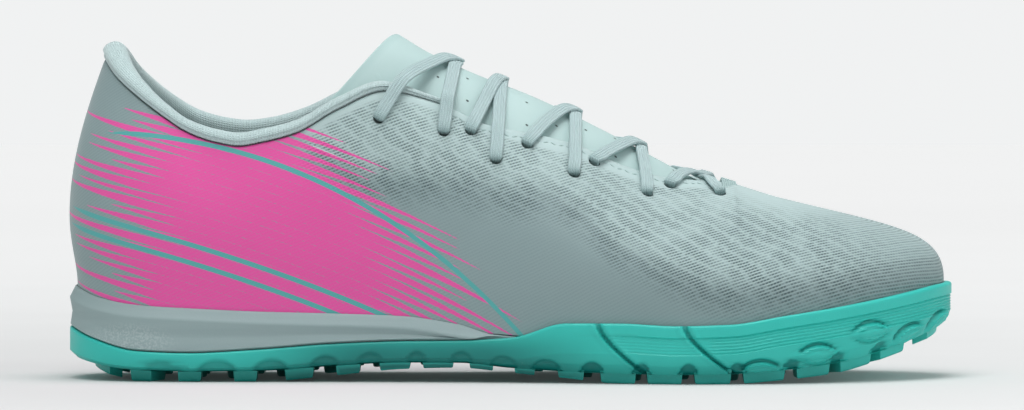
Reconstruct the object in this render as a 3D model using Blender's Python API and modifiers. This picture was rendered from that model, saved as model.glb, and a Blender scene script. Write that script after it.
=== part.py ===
"""Turf shoe for the right foot, EU size 42.5, standing empty on its sole.

It is lofted the way a shoe is lasted. One ring of columns runs round the foot, from the back of
the heel along both sides to the tip of the toe. Every piece is a section drawn in those columns,
so sole, upper, insole, collar and tongue nest inside each other with one seat gap.
Units are metres. +X is towards the toe, +Z is up, and the outer side of the foot faces -Y.
The origin is on the floor under the middle of the heel.
"""

import math
from collections import namedtuple

import bmesh
import bpy
import numpy as np
from mathutils import Matrix, Vector

MM = 0.001

# Driving sizes of the whole shoe
SHOE_LENGTH = 285 * MM  # back of the heel to tip of the toe
BALL_WIDTH = 100 * MM  # the sole across the ball of the foot
SOLE_HEIGHT = 23.4 * MM  # floor to the top of the sole's edge beside the heel
UPPER_HEIGHT = 80 * MM  # top of the sole's edge to the collar seam at the heel

# Walls, thicknesses and the gap between pieces that seat on each other
SEAT_GAP = 0.3 * MM
UPPER_WALL = 2.0 * MM
TONGUE_WALL = 2.0 * MM
SOLE_LIP = 2.2 * MM  # wall of the sole's edge that cups the upper
OUTSOLE_FLOOR = 2.8 * MM  # rubber between the tread and the midsole
CUP_BEVEL = 3.2 * MM  # rounds the corner between the outsole's floor and its wall
BED_EDGE = 1.0 * MM  # least upright edge of the midsole's bed above that corner
INSOLE_THICKNESS = 3.5 * MM
INSOLE_PLAY = 0.9 * MM  # between the insole's edge and the upper's lining

# Where the shoe's own frame and the two fans of columns sit, as shares of its length
HEEL_STATION = 0.14  # origin, and the pole that the heel's columns turn about
TOE_STATION = 0.80  # the pole that the toe's columns turn about
HEEL_ROUND = 2.3  # power of the superellipse round the heel
TOE_ROUND = 2.2
HEEL_COLUMNS = 6  # columns in each fan and between them, on each side
MIDDLE_COLUMNS = 21
TOE_COLUMNS = 7

# Plan of the sole: the axis under the ridge of the foot, and the half widths from it to the
# outer and the inner side, as shares of the ball width
Plan = namedtuple("Plan", "station axis outer inner")
PLAN = (
    Plan(0.00, 0.000, 0.335, 0.335),
    Plan(0.14, 0.000, 0.345, 0.340),
    Plan(0.30, 0.015, 0.360, 0.320),
    Plan(0.42, 0.030, 0.395, 0.290),
    Plan(0.52, 0.040, 0.445, 0.320),
    Plan(0.62, 0.050, 0.520, 0.405),
    Plan(0.70, 0.055, 0.560, 0.440),
    Plan(0.78, 0.060, 0.540, 0.420),
    Plan(0.86, 0.070, 0.490, 0.390),
    Plan(1.00, 0.090, 0.400, 0.360),
)

# Heights of the sole, as shares of the sole height: top of its edge, top of the rubber wall,
# underside between the lugs, face of the lugs, and the seat that carries the foot
Side = namedtuple("Side", "station top wall under tread seat")
SIDE = (
    Side(0.000, 1.280, 0.720, 0.520, 0.500, 0.850),
    Side(0.030, 1.140, 0.570, 0.220, 0.170, 0.810),
    Side(0.080, 1.040, 0.420, 0.155, 0.000, 0.770),
    Side(0.140, 1.000, 0.395, 0.140, 0.000, 0.750),
    Side(0.220, 0.955, 0.445, 0.150, 0.000, 0.730),
    Side(0.300, 0.930, 0.520, 0.215, 0.080, 0.705),
    Side(0.380, 0.895, 0.560, 0.265, 0.175, 0.685),
    Side(0.440, 0.790, 0.570, 0.265, 0.195, 0.668),
    Side(0.500, 0.670, 0.615, 0.200, 0.130, 0.630),
    Side(0.560, 0.810, 0.810, 0.160, 0.065, 0.510),
    Side(0.620, 0.815, 0.815, 0.140, 0.000, 0.470),
    Side(0.680, 0.785, 0.785, 0.130, 0.000, 0.460),
    Side(0.740, 0.805, 0.805, 0.140, 0.000, 0.485),
    Side(0.800, 0.915, 0.915, 0.185, 0.050, 0.580),
    Side(0.860, 1.020, 1.020, 0.275, 0.130, 0.710),
    Side(0.910, 1.120, 1.120, 0.410, 0.290, 0.840),
    Side(0.950, 1.210, 1.210, 0.560, 0.450, 0.940),
    Side(0.980, 1.280, 1.280, 0.700, 0.610, 1.000),
    Side(1.000, 1.310, 1.310, 0.790, 0.720, 1.030),
)

# How far the sole's wall leans in to its lower edge, and how deep the band round the forefoot
# stands out of the wall below it, as shares of the sole height
Wall = namedtuple("Wall", "station tuck band")
WALL = (
    Wall(0.00, 0.300, 0.000),
    Wall(0.08, 0.190, 0.000),
    Wall(0.14, 0.150, 0.000),
    Wall(0.55, 0.130, 0.000),
    Wall(0.66, 0.130, 0.024),
    Wall(0.90, 0.140, 0.024),
    Wall(1.00, 0.160, 0.024),
)
BAND_HEIGHT = 3.6 * MM  # smooth top band of the rubber wall at the forefoot
BAND_STEP = 0.4 * MM
RIB_HEIGHT = 5.0 * MM  # sunk strip under the band, where the fine ribs run

# Where the midsole's rim, its overhang and the ledge they stand on give way to the rubber wall
RIM_ENDS = (0.440, 0.490)
OVERHANG_ENDS = (0.455, 0.4925)
LEDGE_ENDS = (0.455, 0.4855)

# Girth of the upper: how far it stands out beyond its foot, how high above the sole's edge it is
# widest, and the pull of its curve up the side and over the foot
Girth = namedtuple("Girth", "station bulge belly rise over")
GIRTH = (
    Girth(0.00, 0.026, 0.280, 0.35, 0.35),
    Girth(0.14, 0.016, 0.300, 0.38, 0.35),
    Girth(0.30, 0.012, 0.250, 0.40, 0.35),
    Girth(0.45, 0.006, 0.200, 0.43, 0.37),
    Girth(0.60, 0.008, 0.140, 0.42, 0.42),
    Girth(0.75, 0.006, 0.110, 0.44, 0.42),
    Girth(0.86, 0.003, 0.060, 0.50, 0.56),
    Girth(1.00, 0.000, 0.012, 0.60, 0.72),
)

# The seam that ends the upper, from the heel round the collar and down the throat: half widths
# from the axis as shares of the ball width, heights above the sole as shares of the upper's
# height, and how steeply the upper falls away from it on each side, in degrees
Seam = namedtuple("Seam", "station outer inner outer_height inner_height outer_fall inner_fall")
SEAM = (
    Seam(0.040, 0.285, 0.285, 0.995, 0.995, 70, 70),
    Seam(0.057, 0.285, 0.285, 0.914, 0.922, 70, 70),
    Seam(0.085, 0.285, 0.285, 0.826, 0.845, 72, 72),
    Seam(0.113, 0.285, 0.285, 0.752, 0.782, 75, 75),
    Seam(0.140, 0.285, 0.285, 0.691, 0.732, 78, 78),
    Seam(0.170, 0.292, 0.290, 0.654, 0.700, 80, 80),
    Seam(0.196, 0.300, 0.292, 0.639, 0.689, 80, 80),
    Seam(0.222, 0.304, 0.292, 0.654, 0.700, 79, 79),
    Seam(0.260, 0.305, 0.288, 0.691, 0.739, 77, 77),
    Seam(0.306, 0.295, 0.275, 0.784, 0.820, 72, 71),
    Seam(0.358, 0.275, 0.245, 0.857, 0.900, 64, 62),
    Seam(0.419, 0.262, 0.205, 0.808, 0.876, 58, 52),
    Seam(0.476, 0.255, 0.175, 0.722, 0.815, 52, 42),
    Seam(0.520, 0.240, 0.165, 0.692, 0.765, 48, 38),
    Seam(0.566, 0.222, 0.155, 0.654, 0.712, 43, 34),
    Seam(0.630, 0.200, 0.140, 0.557, 0.608, 39, 30),
    Seam(0.675, 0.165, 0.120, 0.514, 0.542, 34, 26),
    Seam(0.719, 0.105, 0.085, 0.500, 0.508, 22, 17),
    Seam(0.744, 0.045, 0.042, 0.492, 0.493, 8, 6),
    Seam(0.752, 0.000, 0.000, 0.488, 0.488, 0, 0),
)

# Top line of the foot, over the tongue and the vamp, above the sole as a share of the upper's
# height, and the half width of the tongue measured round the foot, as a share of the ball width
Ridge = namedtuple("Ridge", "station height tongue")
RIDGE = (
    Ridge(0.290, 1.235, 0.460),
    Ridge(0.330, 1.176, 0.450),
    Ridge(0.371, 1.091, 0.430),
    Ridge(0.405, 1.018, 0.410),
    Ridge(0.456, 0.934, 0.380),
    Ridge(0.520, 0.845, 0.350),
    Ridge(0.566, 0.770, 0.320),
    Ridge(0.608, 0.695, 0.290),
    Ridge(0.657, 0.607, 0.245),
    Ridge(0.700, 0.547, 0.190),
    Ridge(0.752, 0.488, 0.110),
    Ridge(0.800, 0.434, 0.090),
    Ridge(0.844, 0.391, 0.090),
    Ridge(0.900, 0.341, 0.090),
)
TOE_SLOPE = -0.25  # rise of the toe box per length forwards, at the toe's pole

# Tongue: its top edge sweeps back round the ankle, and its front end lies under the vamp
TONGUE_TOP = 0.371
TONGUE_SWEEP = 0.082
TONGUE_FRONT = 0.785
TONGUE_ROWS = 12
TONGUE_ACROSS = 5
TONGUE_UNDER = 0.6 * MM  # beyond the upper's wall, at the throat
TONGUE_TUCK = 30 * MM  # how far down inside the upper it may run

# Collar: a padded roll on the upper's edge that carries on down inside as the lining
COLLAR_END = 0.424
COLLAR_TAPER = 0.10  # share of the length over which the roll thins to its front ends
COLLAR_PLAY = 0.6 * MM
Roll = namedtuple("Roll", "up inset")
COLLAR_ROLL = (
    Roll(0.10, -0.10),
    Roll(0.36, -0.26),
    Roll(0.68, -0.18),
    Roll(0.96, 0.14),
    Roll(1.00, 0.52),
    Roll(0.76, 0.94),
    Roll(0.10, 1.12),
    Roll(-1.60, 1.02),
    Roll(-3.00, 0.72),
)
ROLL_HEIGHT = 4.8 * MM
HEEL_PADDING = 0.3  # how much fuller the roll is at the back of the heel

# Eyelets: where each pair sits along the shoe and how far below the seam
Eyelet = namedtuple("Eyelet", "name station depth")
EYELETS = (
    Eyelet("upper_1", 0.352, 9.0 * MM),
    Eyelet("upper_2", 0.454, 5.0 * MM),
    Eyelet("upper_3", 0.517, 5.0 * MM),
    Eyelet("upper_4", 0.592, 5.0 * MM),
    Eyelet("upper_5", 0.677, 4.6 * MM),
    Eyelet("lower_1", 0.424, 9.5 * MM),
    Eyelet("lower_2", 0.482, 12.5 * MM),
    Eyelet("lower_3", 0.569, 13.5 * MM),
    Eyelet("lower_4", 0.651, 11.0 * MM),
    Eyelet("lower_5", 0.734, 12.0 * MM),
)
EYELET_RADIUS = 1.8 * MM
EYELET_SIDES = 8
PUNCH_REACH = 12 * MM

# Laces: flat cord, one crossing of two bars between each pair of eyelets
LACE_WIDTH = 4.3 * MM
LACE_THICKNESS = 1.3 * MM
LACE_CLEAR = 0.7 * MM
LACE_OVER = 0.8 * LACE_THICKNESS  # how far the upper bar rises where it passes over the other
LACE_STEPS = 6
ROLL_CLEAR = 0.4 * MM  # more room where the first bars bend over the collar's roll
Crossing = namedtuple("Crossing", "upper lower station")
CROSSINGS = (
    Crossing("upper_1", "lower_1", 0.436),
    Crossing("upper_2", "lower_2", 0.487),
    Crossing("upper_3", "lower_3", 0.570),
    Crossing("upper_4", "lower_4", 0.643),
    Crossing("upper_5", "lower_5", 0.711),
)

# Lugs under the rim of the sole: where each starts and ends along the shoe
Lug = namedtuple("Lug", "start end")
RIM_LUGS = (
    Lug(0.062, 0.092),
    Lug(0.126, 0.155),
    Lug(0.190, 0.217),
    Lug(0.247, 0.280),
    Lug(0.304, 0.332),
    Lug(0.352, 0.388),
    Lug(0.400, 0.436),
    Lug(0.452, 0.480),
    Lug(0.502, 0.526),
    Lug(0.550, 0.580),
    Lug(0.597, 0.637),
    Lug(0.648, 0.688),
    Lug(0.700, 0.742),
    Lug(0.754, 0.802),
    Lug(0.815, 0.857),
    Lug(0.869, 0.909),
    Lug(0.920, 0.952),
)
RIM_LUG_DEPTH = 11 * MM
END_LUG_DEPTH = 5 * MM
RIM_LUG_INSET = 0.6 * MM  # from the sole's lower edge in to a lug
LUG_DRAFT = 0.8 * MM  # how much each lug narrows towards its face
LUG_ROOT = 1.6 * MM  # how far a lug runs up into the outsole's floor
STUD_RADIUS = 4.8 * MM
STUD_PITCH_ALONG = 15.5 * MM
STUD_PITCH_ACROSS = 14.4 * MM
STUD_MARGIN = 2.4 * MM  # between a stud and the rim lugs
STUD_FIRST = -1  # first and last row of studs, counted from the heel's middle
STUD_LAST = 13
HEEL_LUG_ARC = 42  # degrees to each side of the back that the heel's own lug covers
TOE_LUG_ARC = 26

OUTER, INNER = -1, 1
GREY = (0.47, 0.60, 0.60)
MINT = (0.55, 0.70, 0.69)
TEAL = (0.06, 0.62, 0.55)


def along(table, name, station):
    """A table's column at a station, on a smooth curve that never overshoots its rows."""
    places = np.array([row.station for row in table], float)
    values = np.array([getattr(row, name) for row in table], float)
    station = min(max(station, places[0]), places[-1])
    steps = np.diff(places)
    slopes = np.diff(values) / steps
    tangents = np.zeros(len(places))
    tangents[0], tangents[-1] = slopes[0], slopes[-1]
    for i in range(1, len(places) - 1):
        before, after = slopes[i - 1], slopes[i]
        if before * after > 0:
            tangents[i] = 2 * before * after / (before + after)
    i = int(np.clip(np.searchsorted(places, station) - 1, 0, len(steps) - 1))
    t = (station - places[i]) / steps[i]
    start = (1 + 2 * t) * (1 - t) ** 2 * values[i] + t * (1 - t) ** 2 * steps[i] * tangents[i]
    end = t * t * (3 - 2 * t) * values[i + 1] - t * t * (1 - t) * steps[i] * tangents[i + 1]
    return float(start + end)


def fade(station, start, end):
    """0 before start, 1 after end, and smooth between."""
    t = min(max((station - start) / (end - start), 0), 1)
    return t * t * (3 - 2 * t)


def blend(a, b, share):
    return a + (b - a) * share


def x_at(station):
    return (station - HEEL_STATION) * SHOE_LENGTH


def station_at(x):
    return x / SHOE_LENGTH + HEEL_STATION


def sole_z(name, station):
    return along(SIDE, name, station) * SOLE_HEIGHT


def upper_z(share):
    return SOLE_HEIGHT + share * UPPER_HEIGHT


def end_cap(station):
    """Superellipse that closes the plan at the heel and the toe: 1 between them, 0 at each end."""
    if station < HEEL_STATION:
        share, power = (HEEL_STATION - station) / HEEL_STATION, HEEL_ROUND
    elif station > TOE_STATION:
        share, power = (station - TOE_STATION) / (1 - TOE_STATION), TOE_ROUND
    else:
        return 1.0
    return max(0.0, 1 - min(share, 1.0) ** power) ** (1 / power)


def fan(count, power):
    """Shares from a pole out to the tip of a superellipse, evenly turned about the pole."""
    return [math.cos(math.pi / 2 * i / count) ** (2 / power) for i in range(count + 1)]


def ring_stations():
    """Stations of the columns on one side, from the back of the heel to the tip of the toe."""
    heel = [HEEL_STATION * (1 - share) for share in fan(HEEL_COLUMNS, HEEL_ROUND)]
    toe = [TOE_STATION + (1 - TOE_STATION) * share for share in fan(TOE_COLUMNS, TOE_ROUND)]
    middle = np.linspace(HEEL_STATION, TOE_STATION, MIDDLE_COLUMNS + 1)[1:]
    return heel + list(middle) + toe[::-1][1:]


class Column:
    """One upright half plane of the last, from its pole on the axis out through the sole's rim."""

    def __init__(self, side, station):
        self.side = side
        self.station = station
        half = "outer" if side == OUTER else "inner"
        axis = along(PLAN, "axis", station) * BALL_WIDTH
        width = along(PLAN, half, station) * BALL_WIDTH * end_cap(station)
        self.rim = np.array([x_at(station), axis + side * width])
        pole = min(max(station, HEEL_STATION), TOE_STATION)
        self.pole = np.array([x_at(pole), along(PLAN, "axis", pole) * BALL_WIDTH])
        reach = self.rim - self.pole
        self.radius = float(np.hypot(*reach))
        self.out = reach / self.radius

    def at(self, inset, z):
        """The point this far in from the rim, at this height."""
        x, y = self.pole + self.out * (self.radius - inset)
        return (x, y, z)

    def on(self, inset, name, lift=0.0):
        """The point this far in from the rim, on one of the sole's levels at its own place."""
        x, y = self.pole + self.out * (self.radius - inset)
        return (x, y, sole_z(name, station_at(x)) + lift)

    def beyond(self, first, second):
        """Whether the first point stands further out than the second, or above it."""
        ahead = self.out @ (np.array(first[:2]) - np.array(second[:2]))
        return ahead > 0.05 * MM or (abs(ahead) <= 0.05 * MM and first[2] > second[2])

    def foot(self):
        return self.radius - SOLE_LIP - SEAT_GAP

    def seam(self):
        """Radius, height and fall of the upper's edge in this column."""
        half, height, fall = ("outer", "outer_height", "outer_fall")
        if self.side == INNER:
            half, height, fall = ("inner", "inner_height", "inner_fall")
        if self.station < HEEL_STATION:
            back = x_at(HEEL_STATION) - x_at(SEAM[0].station)
            beside = along(SEAM, half, HEEL_STATION) * BALL_WIDTH
            radius = 1 / math.hypot(self.out[0] / back, self.out[1] / beside)
            place = station_at(self.pole[0] + self.out[0] * radius)
            return radius, upper_z(along(SEAM, height, place)), along(SEAM, fall, place)
        if self.station >= SEAM[-1].station:
            pole = min(self.station, TOE_STATION)
            slope = -TOE_SLOPE * self.out[0] if self.station > TOE_STATION else 0.0
            height = upper_z(along(RIDGE, "height", pole))
            return 0.0, height, math.degrees(math.atan(slope))
        radius = along(SEAM, half, self.station) * BALL_WIDTH
        return radius, upper_z(along(SEAM, height, self.station)), along(SEAM, fall, self.station)

    def side_curve(self, count):
        """The upper's outer face from its widest place up to the seam, as (radius, height)."""
        edge_radius, edge_z, fall = self.seam()
        station = self.station
        wide = self.foot() + along(GIRTH, "bulge", station) * BALL_WIDTH
        low = sole_z("top", station) + along(GIRTH, "belly", station) * UPPER_HEIGHT
        span = math.hypot(wide - edge_radius, edge_z - low)
        pull = along(GIRTH, "over", station) * (span if edge_radius > 0 else wide)
        fall = math.radians(fall)
        points = np.array(
            [
                (wide, low),
                (wide, low + along(GIRTH, "rise", station) * (edge_z - low)),
                (edge_radius + pull * math.cos(fall), edge_z - pull * math.sin(fall)),
                (edge_radius, edge_z),
            ]
        )
        t = np.linspace(0, 1, count)[:, None]
        weights = np.hstack([(1 - t) ** 3, 3 * t * (1 - t) ** 2, 3 * t * t * (1 - t), t**3])
        return weights @ points

    def face(self, rows):
        """The whole outer face of the upper in this column, from its foot to the seam."""
        station, foot = self.station, self.foot()
        top = sole_z("top", station)
        base_x = self.pole[0] + self.out[0] * foot
        base = sole_z("seat", station_at(base_x)) + SEAT_GAP
        curve = self.side_curve(rows)
        wide, low = curve[0]
        waist = (blend(foot, wide, 0.75), blend(top, low, 0.5))
        return [(foot, base), (foot, top), waist] + [tuple(point) for point in curve]

    def place(self, radius, z):
        x, y = self.pole + self.out * radius
        return np.array([x, y, z])

    def below_seam(self, depth):
        """Point and outward direction on the upper's face, this far down from the seam. A
        negative depth carries on straight above the seam."""
        curve = self.side_curve(41)[::-1]
        lengths = np.concatenate([[0], np.cumsum(np.hypot(*np.diff(curve, axis=0).T))])
        deep = min(max(depth, 0), lengths[-1])
        here = np.array([np.interp(deep, lengths, curve[:, i]) for i in (0, 1)])
        step = 0.5 * MM
        near = np.array([np.interp(max(deep - step, 0), lengths, curve[:, i]) for i in (0, 1)])
        far = np.array([np.interp(deep + step, lengths, curve[:, i]) for i in (0, 1)])
        down = (far - near) / np.hypot(*(far - near))
        here = here + down * min(depth, 0)
        outward = (-down[1], down[0])
        return here, np.array(outward)


def ring():
    """All columns in order: out along the outer side to the toe, and back along the inner."""
    stations = ring_stations()
    outer = [Column(OUTER, station) for station in stations]
    inner = [Column(INNER, station) for station in stations[1:-1]]
    return outer + inner[::-1]


def new_object(name, mesh, colour, roughness, collection):
    """A named object with its own material, smooth but for its sharp edges."""
    material = bpy.data.materials.new(name)
    material.use_nodes = True
    shader = material.node_tree.nodes["Principled BSDF"]
    shader.inputs["Base Color"].default_value = (*colour, 1)
    shader.inputs["Roughness"].default_value = roughness
    mesh.materials.append(material)
    mesh.shade_smooth()
    mesh.set_sharp_from_angle(angle=math.radians(40))
    obj = bpy.data.objects.new(name, mesh)
    collection.objects.link(obj)
    return obj


def mesh_of(name, points, faces, closed=True):
    """A mesh from points and faces, with points that meet made one and no face left empty."""
    mesh = bpy.data.meshes.new(name)
    mesh.from_pydata([tuple(point) for point in points], [], faces)
    work = bmesh.new()
    work.from_mesh(mesh)
    bmesh.ops.remove_doubles(work, verts=work.verts, dist=0.002 * MM)
    bmesh.ops.dissolve_degenerate(work, edges=work.edges, dist=0.002 * MM)
    if closed:
        bmesh.ops.recalc_face_normals(work, faces=work.faces)
    work.to_mesh(mesh)
    work.free()
    return mesh


def loft(sections, around=False, across=False, columns=None):
    """Points and faces between sections, joined round the ring or across each section if asked.
    Between columns each face is split from its outer or upper corner in the first of them, so the
    faces of two pieces that nest lie alongside each other."""
    count = len(sections[0])
    points = [point for section in sections for point in section]
    faces = []
    for i in range(len(sections) if around else len(sections) - 1):
        j = (i + 1) % len(sections)
        for k in range(count if across else count - 1):
            m = (k + 1) % count
            a, b, c, d = i * count + k, j * count + k, j * count + m, i * count + m
            if columns is None:
                faces.append((a, b, c, d))
            elif columns[i].beyond(points[a], points[d]):
                faces.extend([(a, b, c), (a, c, d)])
            else:
                faces.extend([(a, b, d), (b, c, d)])
    return points, faces


def cup_corner(column):
    """Where the outsole's floor turns up into its wall, and how high the bevel there rises."""
    corner = column.on(SOLE_LIP + CUP_BEVEL, "under", OUTSOLE_FLOOR)
    wall = sole_z("wall", column.station)
    bed = column.on(SOLE_LIP + SEAT_GAP, "seat")[2] - SEAT_GAP - BED_EDGE
    return corner, min(CUP_BEVEL, 0.6 * (wall - corner[2]), bed - corner[2])


def outsole_section(column):
    """From the middle of the underside out to the wall, up it, and back over the inner floor."""
    station = column.station
    tuck = along(WALL, "tuck", station) * SOLE_HEIGHT
    band = along(WALL, "band", station) * SOLE_HEIGHT
    edge = column.on(tuck, "under")
    wall = sole_z("wall", station)
    band_z = wall - min(BAND_HEIGHT, 0.45 * (wall - edge[2]))
    ribs_top = band_z - BAND_STEP
    ribs_foot = ribs_top - min(RIB_HEIGHT, 0.45 * (ribs_top - edge[2]))
    skirt = ribs_foot - BAND_STEP
    floor = OUTSOLE_FLOOR
    half = column.radius * 0.5
    corner, rise = cup_corner(column)
    return [
        column.on(column.radius, "under"),
        column.on(half, "under"),
        edge,
        column.at(blend(0.4 * band, tuck, 0.30), blend(edge[2], skirt, 0.45)),
        column.at(0.4 * band, skirt),
        column.at(band, ribs_foot),
        column.at(band, ribs_top),
        column.at(0, band_z),
        column.at(0.2 * MM, wall),
        column.at(SOLE_LIP, wall),
        column.at(SOLE_LIP, corner[2] + rise),
        corner,
        column.on(half, "under", floor),
        column.on(column.radius, "under", floor),
    ]


def midsole_section(column):
    """A foam bed inside the rubber wall. From heel to arch it overhangs the wall and rises as a
    bevelled rim round the upper; at the forefoot it is only the bed."""
    station = column.station
    inner = SOLE_LIP + SEAT_GAP
    half = column.radius * 0.5
    corner, rise = cup_corner(column)
    corner = (corner[0], corner[1], corner[2] + SEAT_GAP)
    low = corner[2] + rise
    seat = column.on(inner, "seat")[2]
    rim = 1 - fade(station, *RIM_ENDS)
    overhang = 1 - fade(station, *OVERHANG_ENDS)
    shelf = 1 - fade(station, *LEDGE_ENDS)
    ledge = sole_z("wall", station) + SEAT_GAP
    top = blend(seat, sole_z("top", station), rim)
    brow = 0.16 * SOLE_HEIGHT * rim
    waist = 0.035 * SOLE_HEIGHT

    def stand(inset, z, below):
        return column.at(blend(inner, inset, overhang), blend(seat - below, z, shelf))

    lip = max(SOLE_LIP, blend(inner, 0, overhang) + 0.4 * SEAT_GAP)
    return [
        column.on(column.radius, "under", OUTSOLE_FLOOR + SEAT_GAP),
        column.on(half, "under", OUTSOLE_FLOOR + SEAT_GAP),
        corner,
        column.at(inner, low),
        column.at(inner, blend(seat - 0.6 * MM, ledge, shelf)),
        stand(0.2 * MM, ledge, 0.5 * MM),
        stand(waist, blend(ledge, top - brow, 0.5), 0.4 * MM),
        stand(0, top - brow, 0.3 * MM),
        column.at(lip, top),
        column.at(lip, seat - 0.1 * MM),
        column.on(half, "seat"),
        column.on(column.radius, "seat"),
    ]


def insole_section(column):
    """A loose sheet on the midsole's seat, inside the upper."""
    inset = SOLE_LIP + SEAT_GAP + UPPER_WALL + INSOLE_PLAY
    half = column.radius * 0.5
    low, high = SEAT_GAP, SEAT_GAP + INSOLE_THICKNESS
    return [
        column.on(column.radius, "seat", low),
        column.on(half, "seat", low),
        column.on(inset, "seat", low),
        column.on(inset + 0.6 * MM, "seat", high),
        column.on(half, "seat", high),
        column.on(column.radius, "seat", high),
    ]


def ring_solid(name, section, colour, roughness, collection):
    columns = ring()
    sections = [section(column) for column in columns]
    points, faces = loft(sections, around=True, columns=columns)
    return new_object(name, mesh_of(name, points, faces), colour, roughness, collection)


def add_lug(work, outline):
    """A lug drawn in plan: its root lies inside the outsole's floor, and it narrows to its face."""
    centre = sum(outline) / len(outline)
    root = work.faces.new([work.verts.new((x, y, 0)) for x, y in outline])
    grown = bmesh.ops.extrude_face_region(work, geom=[root], use_keep_orig=True)["geom"]
    for corner in root.verts:
        corner.co.z = sole_z("under", station_at(corner.co.x)) + LUG_ROOT
    for corner in grown:
        if isinstance(corner, bmesh.types.BMVert):
            spoke = np.array(corner.co[:2]) - centre
            x, y = centre + spoke * (1 - LUG_DRAFT / np.hypot(*spoke))
            corner.co = (x, y, sole_z("tread", station_at(x)))


def lug_inset(station):
    return along(WALL, "tuck", station) * SOLE_HEIGHT + RIM_LUG_INSET


def rim_lug(side, start, end):
    """Outline of a lug under the rim between two stations, following the sole's edge."""
    first, last = Column(side, start), Column(side, end)
    outline = []
    for column, depth in ((first, 0), (last, 0), (last, RIM_LUG_DEPTH), (first, RIM_LUG_DEPTH)):
        outline.append(np.array(column.at(lug_inset(column.station) + depth, 0)[:2]))
    return outline


def end_lug(pole_station, tip_station, power, arc):
    """Outline of the lug that wraps the back of the heel or the tip of the toe."""
    outline, inward = [], []
    for i in range(-3, 4):
        share = math.cos(math.radians(arc) * i / 3) ** (2 / power)
        column = Column(OUTER if i < 0 else INNER, blend(pole_station, tip_station, share))
        inset = lug_inset(column.station)
        outline.append(np.array(column.at(inset, 0)[:2]))
        inward.append(np.array(column.at(inset + END_LUG_DEPTH, 0)[:2]))
    return outline + inward[::-1]


def stud_places(row):
    """Middles of the studs in a row across the sole; every other row is shifted by half a pitch."""
    x = row * STUD_PITCH_ALONG
    station = station_at(x)
    taken = lug_inset(station) + RIM_LUG_DEPTH + STUD_MARGIN + STUD_RADIUS
    low, high = (Column(side, station).rim[1] - side * taken for side in (OUTER, INNER))
    half = (high - low) / 2
    stagger = row % 2 / 2
    count = int(half / STUD_PITCH_ACROSS - stagger) + 1
    middle = (low + high) / 2 if row else 0.0
    steps = {i + stagger for i in range(count)} | {-i - stagger for i in range(count)}
    return [np.array([x, middle + step * STUD_PITCH_ACROSS]) for step in sorted(steps)]


def lugs(cutters):
    """Every lug in one cutter: those under the rim, the two end lugs and the studs between."""
    work = bmesh.new()
    for side in (OUTER, INNER):
        for lug in RIM_LUGS:
            add_lug(work, rim_lug(side, lug.start, lug.end))
    add_lug(work, end_lug(HEEL_STATION, 0, HEEL_ROUND, HEEL_LUG_ARC))
    add_lug(work, end_lug(TOE_STATION, 1, TOE_ROUND, TOE_LUG_ARC))
    for row in range(STUD_FIRST, STUD_LAST + 1):
        for centre in stud_places(row):
            turns = [math.pi / 2 * i for i in range(4)]
            spokes = [np.array([math.cos(turn), math.sin(turn)]) for turn in turns]
            add_lug(work, [centre + STUD_RADIUS * spoke for spoke in spokes])
    return cutter("lugs", work, cutters)


def cutter(name, work, cutters):
    """A hidden object for a Boolean, from a finished bmesh."""
    bmesh.ops.recalc_face_normals(work, faces=work.faces)
    mesh = bpy.data.meshes.new(name)
    work.to_mesh(mesh)
    work.free()
    obj = bpy.data.objects.new(name, mesh)
    obj.hide_render = True
    obj.display_type = "WIRE"
    cutters.objects.link(obj)
    return obj


def boolean(obj, name, operation, other):
    join = obj.modifiers.new(name, "BOOLEAN")
    join.operation = operation
    join.object = other


def outsole(collection, cutters):
    obj = ring_solid("outsole", outsole_section, TEAL, 0.5, collection)
    boolean(obj, "lugs", "UNION", lugs(cutters))
    return obj


def eyelet_pins(cutters):
    """Punches for the lace holes, through the upper's wall along its own outward direction."""
    work = bmesh.new()
    for side in (OUTER, INNER):
        for eyelet in EYELETS:
            centre, outward = eyelet_place(side, eyelet)
            turn = Vector(outward).to_track_quat("Z", "Y").to_matrix().to_4x4()
            bmesh.ops.create_cone(
                work,
                cap_ends=True,
                segments=EYELET_SIDES,
                radius1=EYELET_RADIUS,
                radius2=EYELET_RADIUS,
                depth=PUNCH_REACH,
                matrix=Matrix.Translation(centre) @ turn,
            )
    return cutter("eyelet_pins", work, cutters)


def eyelet_place(side, eyelet):
    """Point and outward direction of an eyelet on the upper's face, in space."""
    column = Column(side, eyelet.station)
    here, outward = column.below_seam(eyelet.depth)
    normal = np.array([*(column.out * outward[0]), outward[1]])
    return column.place(*here), normal / np.linalg.norm(normal)


def upper(collection, cutters):
    """One wall from the sole to the seam, open at the collar, the throat and underneath."""
    columns = ring()
    sections = [[column.place(*point) for point in column.face(7)] for column in columns]
    points, faces = loft(sections, around=True, columns=columns)
    obj = new_object("upper", mesh_of("upper", points, faces, closed=False), GREY, 0.6, collection)
    wall = obj.modifiers.new("wall", "SOLIDIFY")
    wall.thickness = UPPER_WALL
    wall.offset = -1
    wall.use_even_offset = True
    boolean(obj, "eyelets", "DIFFERENCE", eyelet_pins(cutters))
    return obj


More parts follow.
